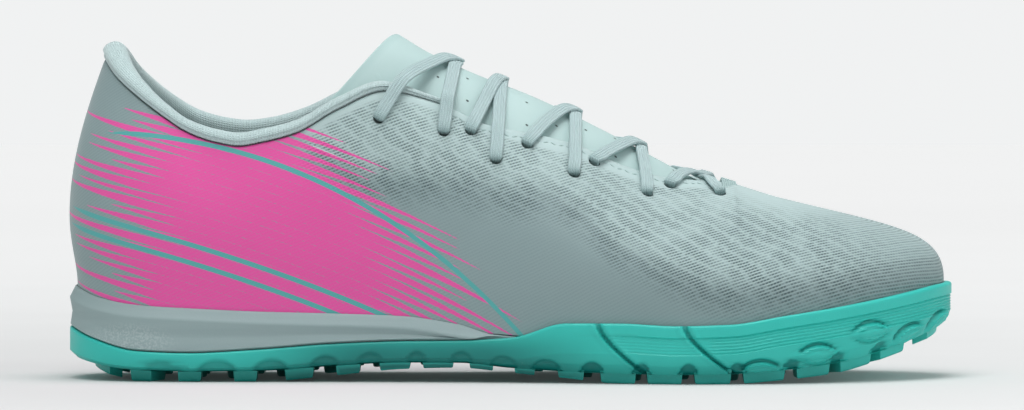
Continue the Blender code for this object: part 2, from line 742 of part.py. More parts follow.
def collar(collection):
    """The padded roll and lining, from the throat's outer end round the heel to its inner end."""
    stations = [station for station in ring_stations() if station < COLLAR_END]
    columns = [Column(OUTER, station) for station in stations[::-1]]
    columns += [Column(INNER, station) for station in stations[1:]]
    sections = []
    for column in columns:
        thin = 1 - 0.45 * fade(column.station, COLLAR_END - COLLAR_TAPER, COLLAR_END)
        thin *= 1 + HEEL_PADDING * (1 - fade(column.station, 0, HEEL_STATION))
        inside = UPPER_WALL + COLLAR_PLAY
        wall_side = [(roll, inside) for roll in (COLLAR_ROLL[-1].up, -1.5, 0.10)]
        section = []
        for up, inset in [(roll.up, roll.inset) for roll in COLLAR_ROLL] + wall_side:
            up = up * ROLL_HEIGHT * thin if up > 0.1 else up * ROLL_HEIGHT
            if inset is not inside:
                deep = inset > 0
                inset = inset * ROLL_HEIGHT * thin
                inset = max(inset, inside + 0.6 * MM) if deep and up < 0.1 * MM else inset
            here, outward = column.below_seam(-up)
            section.append(column.place(*(here - outward * inset)))
        sections.append(section)
    points, faces = loft(sections, across=True)
    count = len(sections[0])
    faces.append(list(range(count)))
    faces.append([len(points) - 1 - i for i in range(count)])
    return new_object("collar", mesh_of("collar", points, faces), MINT, 0.8, collection)


def tongue_line(column):
    """The tongue's outer face in a column, from the ridge down: over the throat to the seam, then
    on down inside the upper and the collar."""
    station = column.station
    roll = ROLL_HEIGHT * (1.12 - 0.3 * fade(station, COLLAR_END - 0.5 * COLLAR_TAPER, COLLAR_END))
    inside_collar = roll + SEAT_GAP + TONGUE_UNDER
    inside_upper = UPPER_WALL + TONGUE_UNDER * (1 + fade(station, 0.64, 0.72))
    under = blend(inside_collar, inside_upper, fade(station, 0.40, 0.46))
    covered = fade(station, 0.63, 0.745)
    ridge = np.array([0, upper_z(along(RIDGE, "height", station)) - covered * under * 1.06])
    hidden = []
    for depth in np.linspace(0, TONGUE_TUCK, 16):
        here, outward = column.below_seam(depth)
        hidden.append(here - outward * under)
    edge = hidden[0]
    rising = edge - hidden[1]
    rising /= np.hypot(*rising)
    span = np.hypot(*(edge - ridge))
    if edge[0] < 2 * MM:
        return np.array([ridge] + [point for point in hidden if point[0] > 2 * MM])
    pulls = [ridge, ridge + (0.42 * span, 0), edge + rising * 0.34 * span, edge]
    t = np.linspace(0, 1, 17)[:, None]
    weights = np.hstack([(1 - t) ** 3, 3 * t * (1 - t) ** 2, 3 * t * t * (1 - t), t**3])
    return np.vstack([weights @ np.array(pulls), hidden[1:]])


def tongue_point(side, station, share):
    """A point on the tongue's face and its outward direction: share 0 on the ridge, 1 at its edge."""
    column = Column(side, station)
    line = tongue_line(column)
    lengths = np.concatenate([[0], np.cumsum(np.hypot(*np.diff(line, axis=0).T))])
    place = share * along(RIDGE, "tongue", station) * BALL_WIDTH
    here = np.array([np.interp(place, lengths, line[:, i]) for i in (0, 1)])
    ahead = np.array([np.interp(place + 0.5 * MM, lengths, line[:, i]) for i in (0, 1)])
    step = ahead - here
    outward = np.array([-step[1], step[0]]) / np.hypot(*step)
    return column.place(*here), np.array([*(column.out * outward[0]), outward[1]])


def tongue(collection):
    """A curved sheet over the instep. Its top edge sweeps back to both sides."""
    shares = np.linspace(-1, 1, 2 * TONGUE_ACROSS + 1)
    sections = []
    for row in range(TONGUE_ROWS + 1):
        run = row / TONGUE_ROWS
        section = []
        for share in shares:
            top = TONGUE_TOP - TONGUE_SWEEP * abs(share) ** 1.4
            station = blend(top, TONGUE_FRONT, run)
            side = OUTER if share < 0 else INNER
            section.append(tongue_point(side, station, abs(share))[0])
        sections.append(section)
    points, faces = loft(sections)
    obj = new_object("tongue", mesh_of("tongue", points, faces, closed=False), MINT, 0.55, collection)
    wall = obj.modifiers.new("wall", "SOLIDIFY")
    wall.thickness = TONGUE_WALL
    wall.offset = -1
    wall.use_even_offset = True
    return obj


def ribbon(path, normals):
    """Points and faces of a flat cord along a path, its flat side turned along the normals."""
    half, thick = LACE_WIDTH / 2, LACE_THICKNESS / 2
    profile = [(-1, 0), (-0.7, 1), (0.7, 1), (1, 0), (0.7, -1), (-0.7, -1)]
    path = np.array(path)
    tangents = np.gradient(path, axis=0)
    sections = []
    for here, tangent, normal in zip(path, tangents, normals):
        tangent = tangent / np.linalg.norm(tangent)
        normal = normal - tangent * (normal @ tangent)
        normal = normal / np.linalg.norm(normal)
        across = np.cross(tangent, normal)
        sections.append([here + across * a * half + normal * b * thick for a, b in profile])
    points, faces = loft(sections, across=True)
    count = len(profile)
    faces.append(list(range(count)))
    faces.append([len(points) - 1 - i for i in range(count)])
    return points, faces


def taut(points):
    """The tight line over a profile, as (radius, height) from the ridge outwards."""
    line = []
    for point in sorted(map(tuple, points)):
        while len(line) > 1:
            (ax, az), (bx, bz) = line[-2], line[-1]
            if (bx - ax) * (point[1] - az) - (bz - az) * (point[0] - ax) < 0:
                break
            line.pop()
        line.append(point)
    return np.array(line)


def lace_profile(station, side, reach):
    """The line a lace is pulled along in a column: over the tongue, the collar's roll or the
    throat's edge, and down the upper as far as its eyelet."""
    column = Column(side, station)
    points = [point for point in tongue_line(column)[:17]]
    if station < COLLAR_END + 0.01:
        for roll in COLLAR_ROLL[:6]:
            here, outward = column.below_seam(-roll.up * ROLL_HEIGHT - ROLL_CLEAR)
            points.append(here - outward * (roll.inset * ROLL_HEIGHT - ROLL_CLEAR))
    for depth in np.linspace(0, reach, 6):
        points.append(column.below_seam(depth)[0])
    line = taut(points)
    return column, line[: int(np.argmax(line[:, 0])) + 1]


def lace_half(side, eyelet, crossing, count):
    """Points and normals of half a bar, from its eyelet up to the ridge."""
    path, normals = [], []
    for share in np.linspace(0, 1, count):
        station = blend(eyelet.station, crossing.station, share)
        column, line = lace_profile(station, side, eyelet.depth)
        lengths = np.concatenate([[0], np.cumsum(np.hypot(*np.diff(line, axis=0).T))])
        place = (1 - share) * lengths[-1]
        span = 1.5 * MM
        here, near, far = (
            np.array([np.interp(at, lengths, line[:, i]) for i in (0, 1)])
            for at in (place, max(place - span, 0), min(place + span, lengths[-1]))
        )
        down = (far - near) / np.hypot(*(far - near))
        outward = np.array([-down[1], down[0]]) if share < 1 else np.array([0, 1])
        ahead, behind = (along(RIDGE, "height", station + step) for step in (0.02, -0.02))
        lean = (behind - ahead) * UPPER_HEIGHT / (0.04 * SHOE_LENGTH)
        x, y = column.out * outward[0]
        normal = np.array([x + lean * outward[1], y, outward[1]])
        path.append(column.place(*here))
        normals.append(normal / np.linalg.norm(normal))
    return path, normals


def lace_bar(side, high, low, crossing, raised):
    """A bar from an eyelet on one side, over the ridge, to an eyelet on the other side."""
    first, first_normals = lace_half(side, high, crossing, LACE_STEPS)
    second, second_normals = lace_half(-side, low, crossing, LACE_STEPS)
    path = np.array(first + second[::-1][1:])
    normals = np.array(first_normals + second_normals[::-1][1:])
    shares = np.linspace(-1, 1, len(path))
    lift = LACE_THICKNESS / 2 + LACE_CLEAR + raised * (1 - shares**2) ** 2
    return ribbon(path + normals * lift[:, None], normals)


def laces(collection, cutters):
    """Each crossing is one solid: two flat bars, joined where one passes over the other."""
    eyelets = {eyelet.name: eyelet for eyelet in EYELETS}
    for number, crossing in enumerate(CROSSINGS, 1):
        high, low = eyelets[crossing.upper], eyelets[crossing.lower]
        name = f"lace_{number}"
        under = mesh_of(name, *lace_bar(INNER, high, low, crossing, 0))
        over = mesh_of(name, *lace_bar(OUTER, high, low, crossing, LACE_OVER))
        work = bmesh.new()
        work.from_mesh(over)
        obj = new_object(name, under, MINT, 0.75, collection)
        boolean(obj, "crossing", "UNION", cutter(name + "_over", work, cutters))


def main():
    for obj in list(bpy.data.objects):
        bpy.data.objects.remove(obj)
    shoe = bpy.data.collections.new("turf_shoe")
    cutters = bpy.data.collections.new("cutters")
    bpy.context.scene.collection.children.link(shoe)
    bpy.context.scene.collection.children.link(cutters)
    outsole(shoe, cutters)
    ring_solid("midsole", midsole_section, GREY, 0.6, shoe)
    ring_solid("insole", insole_section, MINT, 0.85, shoe)
    upper(shoe, cutters)
    collar(shoe)
    tongue(shoe)
    laces(shoe, cutters)


main()
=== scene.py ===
"""The looks of a turf shoe for the right foot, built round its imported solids.

It follows the shoe as it is made: rubber outsole, foam midsole, insole, knitted upper, collar,
tongue and lace, and then the studio. Units are metres; +X is the toe, +Z is up, -Y is outwards.
"""

import math
from collections import namedtuple

import bmesh
import bpy
import numpy as np
from mathutils import Matrix, Vector
from mathutils.kdtree import KDTree


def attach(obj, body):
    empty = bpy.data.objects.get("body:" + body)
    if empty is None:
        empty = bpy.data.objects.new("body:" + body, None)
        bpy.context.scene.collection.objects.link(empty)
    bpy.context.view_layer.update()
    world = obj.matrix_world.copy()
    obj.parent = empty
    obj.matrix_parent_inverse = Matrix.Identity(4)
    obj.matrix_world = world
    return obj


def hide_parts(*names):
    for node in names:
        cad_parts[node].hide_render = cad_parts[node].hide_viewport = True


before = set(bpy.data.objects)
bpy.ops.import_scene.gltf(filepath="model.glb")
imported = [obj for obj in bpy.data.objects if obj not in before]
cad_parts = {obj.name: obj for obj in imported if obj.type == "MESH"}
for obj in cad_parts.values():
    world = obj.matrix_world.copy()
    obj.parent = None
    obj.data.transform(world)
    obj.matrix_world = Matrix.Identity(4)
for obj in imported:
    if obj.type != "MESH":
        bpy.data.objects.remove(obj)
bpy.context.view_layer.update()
scene = bpy.context.scene

# Camera. It stands beside the outer side of the shoe, level with the collar and far enough off
# that the shoe is seen almost square on, as in a catalogue.
MM = 0.001
SEEN_WIDTH = 330.5 * MM
STAND_OFF = 1.6
LOOK_AT = Vector((102.6 * MM, 0, 55.5 * MM))
LOOK_DOWN = math.radians(1.0)
SENSOR_WIDTH = 36  # in mm, as Blender counts it

camera = bpy.data.objects.new("camera", bpy.data.cameras.new("camera"))
camera.data.sensor_width = SENSOR_WIDTH
camera.data.lens = SENSOR_WIDTH * STAND_OFF / SEEN_WIDTH
camera.location = LOOK_AT + STAND_OFF * Vector((0, -math.cos(LOOK_DOWN), math.sin(LOOK_DOWN)))
camera.rotation_euler = (math.radians(90) - LOOK_DOWN, 0, 0)
scene.collection.objects.link(camera)
scene.camera = camera

# Outsole. One moulding of teal rubber: a floor with a wall that cups the foam, lugs under its
# rim and studs between them. The forefoot's wall carries a smooth band with fine ribs below it,
# two slanting flex grooves and leaf-shaped pads; it is cemented to the midsole.
SHOE_LENGTH = 285 * MM
BALL_WIDTH = 100 * MM
SOLE_HEIGHT = 23.4 * MM
UPPER_HEIGHT = 80 * MM
HEEL_STATION = 0.14
TOE_STATION = 0.80
FOREFOOT = 0.5
HEEL_ROUND, TOE_ROUND = 2.3, 2.2  # powers of the ends' superellipses
SEAT_GAP = 0.3 * MM
SOLE_LIP = 2.2 * MM
OUTSOLE_FLOOR = 2.8 * MM
CUP_BEVEL = 3.2 * MM
BAND_HEIGHT = 3.6 * MM
BAND_STEP = 0.4 * MM
RIB_HEIGHT = 5.0 * MM
OUTER, INNER = -1, 1
TEAL = (0.030, 0.55, 0.48)
# The second teal is the outsole's painted shade, and its mottle.
TEAL_SHADE_AND_MOTTLE = (0.001, 0.195, 0.175)

# Stations are shares of the shoe's length from the heel. PLAN is in ball widths, SIDE and WALL in
# sole heights.
Plan = namedtuple("Plan", "station axis outer inner")
PLAN = (
    Plan(0.00, 0.000, 0.335, 0.335),
    Plan(0.14, 0.000, 0.345, 0.340),
    Plan(0.30, 0.015, 0.360, 0.320),
    Plan(0.42, 0.030, 0.395, 0.290),
    Plan(0.52, 0.040, 0.445, 0.320),
    Plan(0.62, 0.050, 0.520, 0.405),
    Plan(0.70, 0.055, 0.560, 0.440),
    Plan(0.78, 0.060, 0.540, 0.420),
    Plan(0.86, 0.070, 0.490, 0.390),
    Plan(1.00, 0.090, 0.400, 0.360),
)
Side = namedtuple("Side", "station top wall under tread seat")
SIDE = (
    Side(0.000, 1.280, 0.720, 0.520, 0.500, 0.850),
    Side(0.030, 1.140, 0.570, 0.220, 0.170, 0.810),
    Side(0.080, 1.040, 0.420, 0.155, 0.000, 0.770),
    Side(0.140, 1.000, 0.395, 0.140, 0.000, 0.750),
    Side(0.220, 0.955, 0.445, 0.150, 0.000, 0.730),
    Side(0.300, 0.930, 0.520, 0.215, 0.080, 0.705),
    Side(0.380, 0.895, 0.560, 0.265, 0.175, 0.685),
    Side(0.440, 0.790, 0.570, 0.265, 0.195, 0.668),
    Side(0.500, 0.670, 0.615, 0.200, 0.130, 0.630),
    Side(0.560, 0.810, 0.810, 0.160, 0.065, 0.510),
    Side(0.620, 0.815, 0.815, 0.140, 0.000, 0.470),
    Side(0.680, 0.785, 0.785, 0.130, 0.000, 0.460),
    Side(0.740, 0.805, 0.805, 0.140, 0.000, 0.485),
    Side(0.800, 0.915, 0.915, 0.185, 0.050, 0.580),
    Side(0.860, 1.020, 1.020, 0.275, 0.130, 0.710),
    Side(0.910, 1.120, 1.120, 0.410, 0.290, 0.840),
    Side(0.950, 1.210, 1.210, 0.560, 0.450, 0.940),
    Side(0.980, 1.280, 1.280, 0.700, 0.610, 1.000),
    Side(1.000, 1.310, 1.310, 0.790, 0.720, 1.030),
)
Wall = namedtuple("Wall", "station tuck band")
WALL = (
    Wall(0.00, 0.300, 0.000),
    Wall(0.08, 0.190, 0.000),
    Wall(0.14, 0.150, 0.000),
    Wall(0.55, 0.130, 0.000),
    Wall(0.66, 0.130, 0.024),
    Wall(0.90, 0.140, 0.024),
    Wall(1.00, 0.160, 0.024),
)
Relief = namedtuple("Relief", "x z length height tilt")  # leaf pads on the wall, degrees
LEAVES = (
    Relief(180.5 * MM, 4.4 * MM, 13.0 * MM, 2.2 * MM, 3),
    Relief(199.0 * MM, 9.0 * MM, 13.5 * MM, 2.7 * MM, 5),
    Relief(216.5 * MM, 15.8 * MM, 13.0 * MM, 2.6 * MM, 8),
    Relief(230.0 * MM, 14.4 * MM, 11.5 * MM, 2.4 * MM, 32),
    Relief(240.5 * MM, 18.0 * MM, 9.0 * MM, 2.0 * MM, 50),
)
LEAF_STAND, LEAF_EDGE = 1.0 * MM, 0.45 * MM
LEAF_LINE_IN, LEAF_LINE_WIDE = 1.15 * MM, 0.42 * MM
LEAF_ARCH_DEPTH, LEAF_ARCH_HALF, LEAF_CHANNEL_HALF = 1.1 * MM, 0.95 * MM, 0.55 * MM
Groove = namedtuple("Groove", "x top_z foot_x foot_z")
GROOVE_HALF, GROOVE_DEPTH, GROOVE_LIP = 1.35 * MM, 1.3 * MM, 0.35 * MM
GROOVES = (
    Groove(129.5 * MM, 19.2 * MM, 144.5 * MM, 3.4 * MM),
    Groove(156.8 * MM, 18.0 * MM, 173.5 * MM, 2.6 * MM),
)
Lug = namedtuple("Lug", "start end")
RIM_LUGS = (
    Lug(0.062, 0.092), Lug(0.126, 0.155), Lug(0.190, 0.217), Lug(0.247, 0.280),
    Lug(0.304, 0.332), Lug(0.352, 0.388), Lug(0.400, 0.436), Lug(0.452, 0.480),
    Lug(0.502, 0.526), Lug(0.550, 0.580), Lug(0.597, 0.637), Lug(0.648, 0.688),
    Lug(0.700, 0.742), Lug(0.754, 0.802), Lug(0.815, 0.857), Lug(0.869, 0.909),
    Lug(0.920, 0.952),
)
ARCH_HEIGHT, ARCH_HOLLOW, ARCH_EDGE = 4.2 * MM, 1.2 * MM, 1.4 * MM
RIB_STAND, TOE_RIBS = 0.34 * MM, 5
RIM_LUG_DEPTH = 11 * MM
END_LUG_DEPTH = 5 * MM
RIM_LUG_INSET = 0.6 * MM
LUG_DRAFT = 0.8 * MM
LUG_ROOT = 1.6 * MM
LUG_LEVELS = (  # how far drawn in, in drafts, and how far down from root to face
    (0, 0), (0.75, 0.82), (1.0, 0.95), (1.6, 1.0), (2.6, 1.0), (3.0, 0.93),
)
STUD_RADIUS = 4.8 * MM
STUD_PITCH_ALONG, STUD_PITCH_ACROSS = 15.5 * MM, 14.4 * MM
STUD_MARGIN = 2.4 * MM
STUD_ROWS = range(-1, 14)
HEEL_LUG_ARC, TOE_LUG_ARC = 42, 26


def along(table, name, station):
    """A table's column at a station, on a smooth curve that never overshoots its rows."""
    places = np.array([row.station for row in table], float)
    values = np.array([getattr(row, name) for row in table], float)
    station = min(max(station, places[0]), places[-1])
    steps = np.diff(places)
    slopes = np.diff(values) / steps
    tangents = np.zeros(len(places))
    tangents[0], tangents[-1] = slopes[0], slopes[-1]
    for i in range(1, len(places) - 1):
        before, after = slopes[i - 1], slopes[i]
        if before * after > 0:
            tangents[i] = 2 * before * after / (before + after)
    i = int(np.clip(np.searchsorted(places, station) - 1, 0, len(steps) - 1))
    t = (station - places[i]) / steps[i]
    start = (1 + 2 * t) * (1 - t) ** 2 * values[i] + t * (1 - t) ** 2 * steps[i] * tangents[i]
    end = t * t * (3 - 2 * t) * values[i + 1] - t * t * (1 - t) * steps[i] * tangents[i + 1]
    return float(start + end)


def fade(value, start, end):
    """0 before start, 1 after end, and smooth between; numbers or arrays."""
    t = np.clip((value - start) / (end - start), 0, 1)
    return t * t * (3 - 2 * t)


def blend(a, b, share):
    return a + (b - a) * share


def x_at(station):
    return (station - HEEL_STATION) * SHOE_LENGTH


def station_at(x):
    return x / SHOE_LENGTH + HEEL_STATION


def sole_z(name, station):
    return along(SIDE, name, station) * SOLE_HEIGHT


def end_cap(station):
    """Superellipse that closes the plan at the heel and the toe: 1 between them."""
    if station < HEEL_STATION:
        share, power = (HEEL_STATION - station) / HEEL_STATION, HEEL_ROUND
    elif station > TOE_STATION:
        share, power = (station - TOE_STATION) / (1 - TOE_STATION), TOE_ROUND
    else:
        return 1.0
    return max(0.0, 1 - min(share, 1.0) ** power) ** (1 / power)


class Column:
    """One upright half plane of the last, from its pole on the axis out to the sole's rim."""

    def __init__(self, side, station):
        self.side, self.station = side, station
        axis = along(PLAN, "axis", station) * BALL_WIDTH
        half = along(PLAN, "outer" if side == OUTER else "inner", station)
        self.rim = np.array([x_at(station), axis + side * half * BALL_WIDTH * end_cap(station)])
        pole = min(max(station, HEEL_STATION), TOE_STATION)
        self.pole = np.array([x_at(pole), along(PLAN, "axis", pole) * BALL_WIDTH])
        self.radius = float(np.hypot(*(self.rim - self.pole)))
        self.out = (self.rim - self.pole) / self.radius

    def place(self, radius, z):
        return np.array([*(self.pole + self.out * radius), z])

    def at(self, inset, z):
        return self.place(self.radius - inset, z)

    def on(self, inset, name, lift=0.0):
        """The point this far in from the rim, on one of the sole's levels at its own place."""
        x, y, _ = self.at(inset, 0)
        return np.array([x, y, sole_z(name, station_at(x)) + lift])


def ring(heel, middle, toe):
    """Columns out along the outer side to the toe and back along the inner side."""
    def shares(count, power):
        return [math.cos(math.pi / 2 * i / count) ** (2 / power) for i in range(count + 1)]

    stations = [HEEL_STATION * (1 - share) for share in shares(heel, HEEL_ROUND)]
    stations += list(np.linspace(HEEL_STATION, TOE_STATION, middle + 1)[1:])
    tip = [TOE_STATION + (1 - TOE_STATION) * share for share in shares(toe, TOE_ROUND)]
    stations += tip[::-1][1:]
    outer = [Column(OUTER, station) for station in stations]
    return outer + [Column(INNER, station) for station in stations[1:-1]][::-1]


def refine(profile, steps):
    """A profile with each of its stretches cut into the given number of steps."""
    fine = [profile[0]]
    for start, end, count in zip(profile, profile[1:], steps):
        fine += [blend(start, end, (i + 1) / count) for i in range(count)]
    return fine


def grid_faces(rows, count, around=False, across=False):
    """Quads of a grid whose points are listed row by row."""
    faces = []
    for i in range(rows if around else rows - 1):
        for k in range(count if across else count - 1):
            j, m = (i + 1) % rows, (k + 1) % count
            faces.append((i * count + k, j * count + k, j * count + m, i * count + m))
    return faces


def normals_of(grid, around=False):
    """Unit normals of a grid of points, rows by columns, taken across its neighbours."""
    if around:
        ahead = np.roll(grid, -1, axis=0) - np.roll(grid, 1, axis=0)
    else:
        ahead = np.gradient(grid, axis=0)
    normal = np.cross(ahead, np.gradient(grid, axis=1))
    return normal / np.maximum(np.linalg.norm(normal, axis=2, keepdims=True), 1e-12)


def add_object(name, data):
    obj = bpy.data.objects.new(name, data)
    scene.collection.objects.link(obj)
    return obj


def object_of(work, name):
    """The object that a bmesh makes."""
    mesh = bpy.data.meshes.new(name)
    work.to_mesh(mesh)
    work.free()
    return add_object(name, mesh)


def make_piece(name, points, faces, finishes, laid=None, weld=True, sharp=40):
    """A piece of the shoe as one mesh object. laid is where each point lies on the flat piece."""
    mesh = bpy.data.meshes.new(name)
    mesh.from_pydata([tuple(map(float, point)) for point in points], [], faces)
    if laid is not None:
        place = mesh.attributes.new("laid", "FLOAT_VECTOR", "POINT")
        place.data.foreach_set("vector", np.asarray(laid, np.float32).ravel())
    work = bmesh.new()
    work.from_mesh(mesh)
    if weld:
        bmesh.ops.remove_doubles(work, verts=work.verts, dist=0.002 * MM)
        bmesh.ops.dissolve_degenerate(work, edges=work.edges, dist=0.002 * MM)
    bmesh.ops.recalc_face_normals(work, faces=work.faces)
    work.to_mesh(mesh)
    work.free()
    for finish in finishes:
        mesh.materials.append(finish)
    mesh.shade_smooth()
    mesh.set_sharp_from_angle(angle=math.radians(sharp))
    return add_object(name, mesh)


def ring_piece(name, sections, finishes, **more):
    """A piece from its sections, which stand in a closed ring round the shoe."""
    sections = np.array(sections)
    faces = grid_faces(*sections.shape[:2], around=True)
    return make_piece(name, sections.reshape(-1, 3), faces, finishes, **more)


def apply_modifiers(obj):
    """Leaves the object with the mesh that its modifiers give."""
    bpy.context.view_layer.update()
    shown = obj.evaluated_get(bpy.context.evaluated_depsgraph_get())
    mesh = bpy.data.meshes.new_from_object(shown)
    obj.modifiers.clear()
    obj.data = mesh


def thicken(sheet, thickness):
    """Gives a sheet its wall, inwards from the face that is drawn; the inside has the second
    finish."""
    wall = sheet.modifiers.new("wall", "SOLIDIFY")
    wall.thickness, wall.offset, wall.use_even_offset = thickness, -1, True
    wall.material_offset = 1


def combine(piece, tool, operation, material_mode="INDEX"):
    """Joins a solid to a piece or cuts it away, and drops the solid."""
    change = piece.modifiers.new("combine", "BOOLEAN")
    change.operation, change.object, change.material_mode = operation, tool, material_mode
    apply_modifiers(piece)
    bpy.data.objects.remove(tool)


class Link:
    """A socket of a finish's nodes. Arithmetic on it adds Math nodes."""

    def __init__(self, nodes, socket):
        self.nodes, self.socket = nodes, socket

    def __add__(self, other):
        return self.nodes.maths("ADD", self, other)

    def __sub__(self, other):
        return self.nodes.maths("SUBTRACT", self, other)

    def __rsub__(self, other):
        return self.nodes.maths("SUBTRACT", other, self)

    def __mul__(self, other):
        return self.nodes.maths("MULTIPLY", self, other)

    def __truediv__(self, other):
        return self.nodes.maths("DIVIDE", self, other)

    def __pow__(self, other):
        return self.nodes.maths("POWER", self, other)

    __radd__, __rmul__ = __add__, __mul__


class Nodes:
    """A node tree in the making."""

    def __init__(self, tree):
        self.tree = tree

    def node(self, kind, settings=(), values=(), out=0):
        """A node of this kind with its settings, then its sockets' values or links."""
        node = self.tree.nodes.new("ShaderNode" + kind)
        for name, value in dict(settings).items():
            if name == "stops":
                ramp = node.color_ramp
                for stop, (at, level) in enumerate(value):
                    element = ramp.elements[stop] if stop < 2 else ramp.elements.new(at)
                    element.position, element.color = at, (level, level, level, 1)
            else:
                setattr(node, name, value)
        for name, value in dict(values).items():
            self.feed(node.inputs[name], value)
        return Link(self, node.outputs[out])

    def feed(self, socket, value):
        if isinstance(value, Link):
            self.tree.links.new(value.socket, socket)
        elif socket.type == "RGBA" and len(value) == 3:
            socket.default_value = (*value, 1)
        else:
            socket.default_value = value

    def maths(self, operation, *values):
        return self.node("Math", {"operation": operation}, dict(enumerate(values)))

    def mix(self, first, second, share):
        """One colour over another, by a share from 0 to 1."""
        values = {"Factor": share, 6: first, 7: second}
        return self.node("Mix", {"data_type": "RGBA"}, values, out=2)

    def step(self, value, start, end):
        """0 before start, 1 after end, and smooth between."""
        values = {"Value": value, "From Min": start, "From Max": end}
        return self.node("MapRange", {"interpolation_type": "SMOOTHSTEP"}, values)

    def curve(self, value, points):
        """A smooth line through (place, level) points."""
        first, last = points[0][0], points[-1][0]
        levels = [level for _, level in points]
        low, high = min(levels), max(levels)
        stops = [
            ((at - first) / (last - first), (level - low) / (high - low)) for at, level in points
        ]
        stops = [stops[0], stops[-1], *stops[1:-1]]
        share = self.node("ValToRGB", {"stops": stops}, {0: (value - first) / (last - first)})
        return share * (high - low) + low

    def parts(self, vector):
        """The three numbers of a vector."""
        split = self.node("SeparateXYZ", (), {0: vector})
        return [Link(self, socket) for socket in split.socket.node.outputs]

    def place(self, kind="Object"):
        """The point in the shoe's own frame."""
        return self.node("TexCoord", (), (), out=kind)

    def laid(self):
        """The point on the flat piece, in millimetres."""
        return self.node("Attribute", {"attribute_name": "laid"}, (), out="Vector")

    def join(self, x, y, z=0.0):
        return self.node("CombineXYZ", (), {0: x, 1: y, 2: z})

    def noise(self, vector, scale, detail=2.0):
        return self.node("TexNoise", (), {"Vector": vector, "Scale": scale, "Detail": detail})

    def chance(self, number):
        """A number from 0 to 1 that is the same wherever its seed is the same."""
        return self.node("TexWhiteNoise", {"noise_dimensions": "1D"}, {"W": number})

    def dashes(self, value, share):
        """1 over the given share of each whole step of the value, with soft ends."""
        away = self.maths("ABSOLUTE", self.maths("FRACT", value) - 0.5)
        return 1 - self.step(away, share * 0.5 - 0.13, share * 0.5 + 0.13)


class Finish(Nodes):
    """A material in the making: a Principled shader and the nodes that feed it."""

    def __init__(self, name, roughness, **fixed):
        self.material = bpy.data.materials.new(name)
        self.material.use_nodes = True
        super().__init__(self.material.node_tree)
        self.shader = self.tree.nodes["Principled BSDF"]
        for socket, value in {"Roughness": roughness, **fixed}.items():
            self.shader.inputs[socket.replace("_", " ")].default_value = value

    def coat(self, colour, roughness=None, height=None, depth=0.1 * MM):
        """Feeds the shader: colour, roughness, and a height from 0 to 1 over a depth."""
        self.feed(self.shader.inputs["Base Color"], colour)
        if roughness is not None:
            self.feed(self.shader.inputs["Roughness"], roughness)
        if height is not None:
            bump = self.node("Bump", (), {"Distance": depth, "Height": height})
            self.feed(self.shader.inputs["Normal"], bump)
        return self.material


def rubber_finish():
    """Satin rubber with a fine mould grain, a mottle and scuffs low down; painted shade darkens it
    near the ground, on the waist's wall and in the hollows between the lugs, so its walls stay
    brighter.
    """
    rubber = Finish("moulded_rubber", 0.42, Specular_IOR_Level=0.45)
    place = rubber.place()
    x, y, z = rubber.parts(place)
    cloud = rubber.noise(place, 55.0, 3.0)
    grain = rubber.noise(place, 2600.0, 1.0)
    # Painted shade: darker towards the ground, on the wall at the waist, and in the hollows sunk
    # into the wall, most at the forefoot; the cloud adds a random mottle.
    low = 1 - rubber.step(z, 0.5 * MM, 10 * MM)
    waist = 1 - rubber.step(rubber.maths("ABSOLUTE", x - 76 * MM), 16 * MM, 66 * MM)
    waist = waist * (1 - rubber.step(z, 9 * MM, 18 * MM))
    sunk, wall, _ = rubber.parts(rubber.laid())
    sunk = rubber.step(sunk, 0.15, 1.1) * (0.25 + 0.42 * rubber.step(x, 100 * MM, 125 * MM))
    deep = rubber.maths("MINIMUM", low * 0.55 + waist * wall * 0.9 + sunk + cloud * 0.12, 1.0)
    colour = rubber.mix(TEAL, TEAL_SHADE_AND_MOTTLE, deep)
    scuff = rubber.step(rubber.noise(place, 420.0, 4.0), 0.66, 0.76)
    colour = rubber.mix(colour, (0.20, 0.36, 0.33), scuff * low * 0.35)
    return rubber.coat(colour, 0.36 + cloud * 0.16 + grain * 0.05, grain * 0.6 + cloud, 0.05 * MM)


def leaf_height(x, z):
    """How far the wall stands out at a place: an almond pad with a fine line inside its edge, a
    sunk arch over it and a narrow channel under it."""
    height = 0.0
    for leaf in LEAVES:
        turn = math.radians(leaf.tilt)
        ahead = (x - leaf.x) * math.cos(turn) + (z - leaf.z) * math.sin(turn)
        up = (z - leaf.z) * math.cos(turn) - (x - leaf.x) * math.sin(turn)
        reach = 1 - (2 * ahead / leaf.length) ** 2
        if reach > 0:
            inside = leaf.height * reach - abs(up)
            strong = min(1.0, 3 * reach)
            pad = float(fade(inside, 0.0, LEAF_EDGE))
            line = math.exp(-(((inside - LEAF_LINE_IN) / LEAF_LINE_WIDE) ** 2))
            wide = LEAF_ARCH_HALF if up > 0 else LEAF_CHANNEL_HALF
            rut = 1 - float(fade(abs(inside + wide) / wide, 0.2, 1.0))
            depth = LEAF_ARCH_DEPTH if up > 0 else 0.5 * LEAF_ARCH_DEPTH
            height += strong * (LEAF_STAND * (pad - 0.5 * line) - depth * rut)
    return height


def groove_depth(x, z):
    """How deep the two flex grooves cut into the wall at a place."""
    depth = 0.0
    for groove in GROOVES:
        drop = (groove.top_z - z) / (groove.top_z - groove.foot_z)
        if -0.05 < drop < 1.05:
            middle = blend(groove.x, groove.foot_x, max(drop, 0) ** 1.5)
            off = abs(x - middle) / GROOVE_HALF
            lip = GROOVE_LIP * math.exp(-(((off - 1.5) / 0.4) ** 2))
            depth += GROOVE_DEPTH * (1 - float(fade(off, 0.25, 1.0))) - lip
    return depth


def arch_depth(station, up):
    """How deep the wall is hollowed above each gap between two lugs of its rim."""
    for lug, after in zip(RIM_LUGS, RIM_LUGS[1:]):
        off = abs(station - (lug.end + after.start) / 2) / ((after.start - lug.end) / 2 + 0.005)
        if off < 1:
            top = ARCH_HEIGHT * math.sqrt(1 - off * off)
            return ARCH_HOLLOW * float(fade(top - up, 0, ARCH_EDGE))
    return 0.0


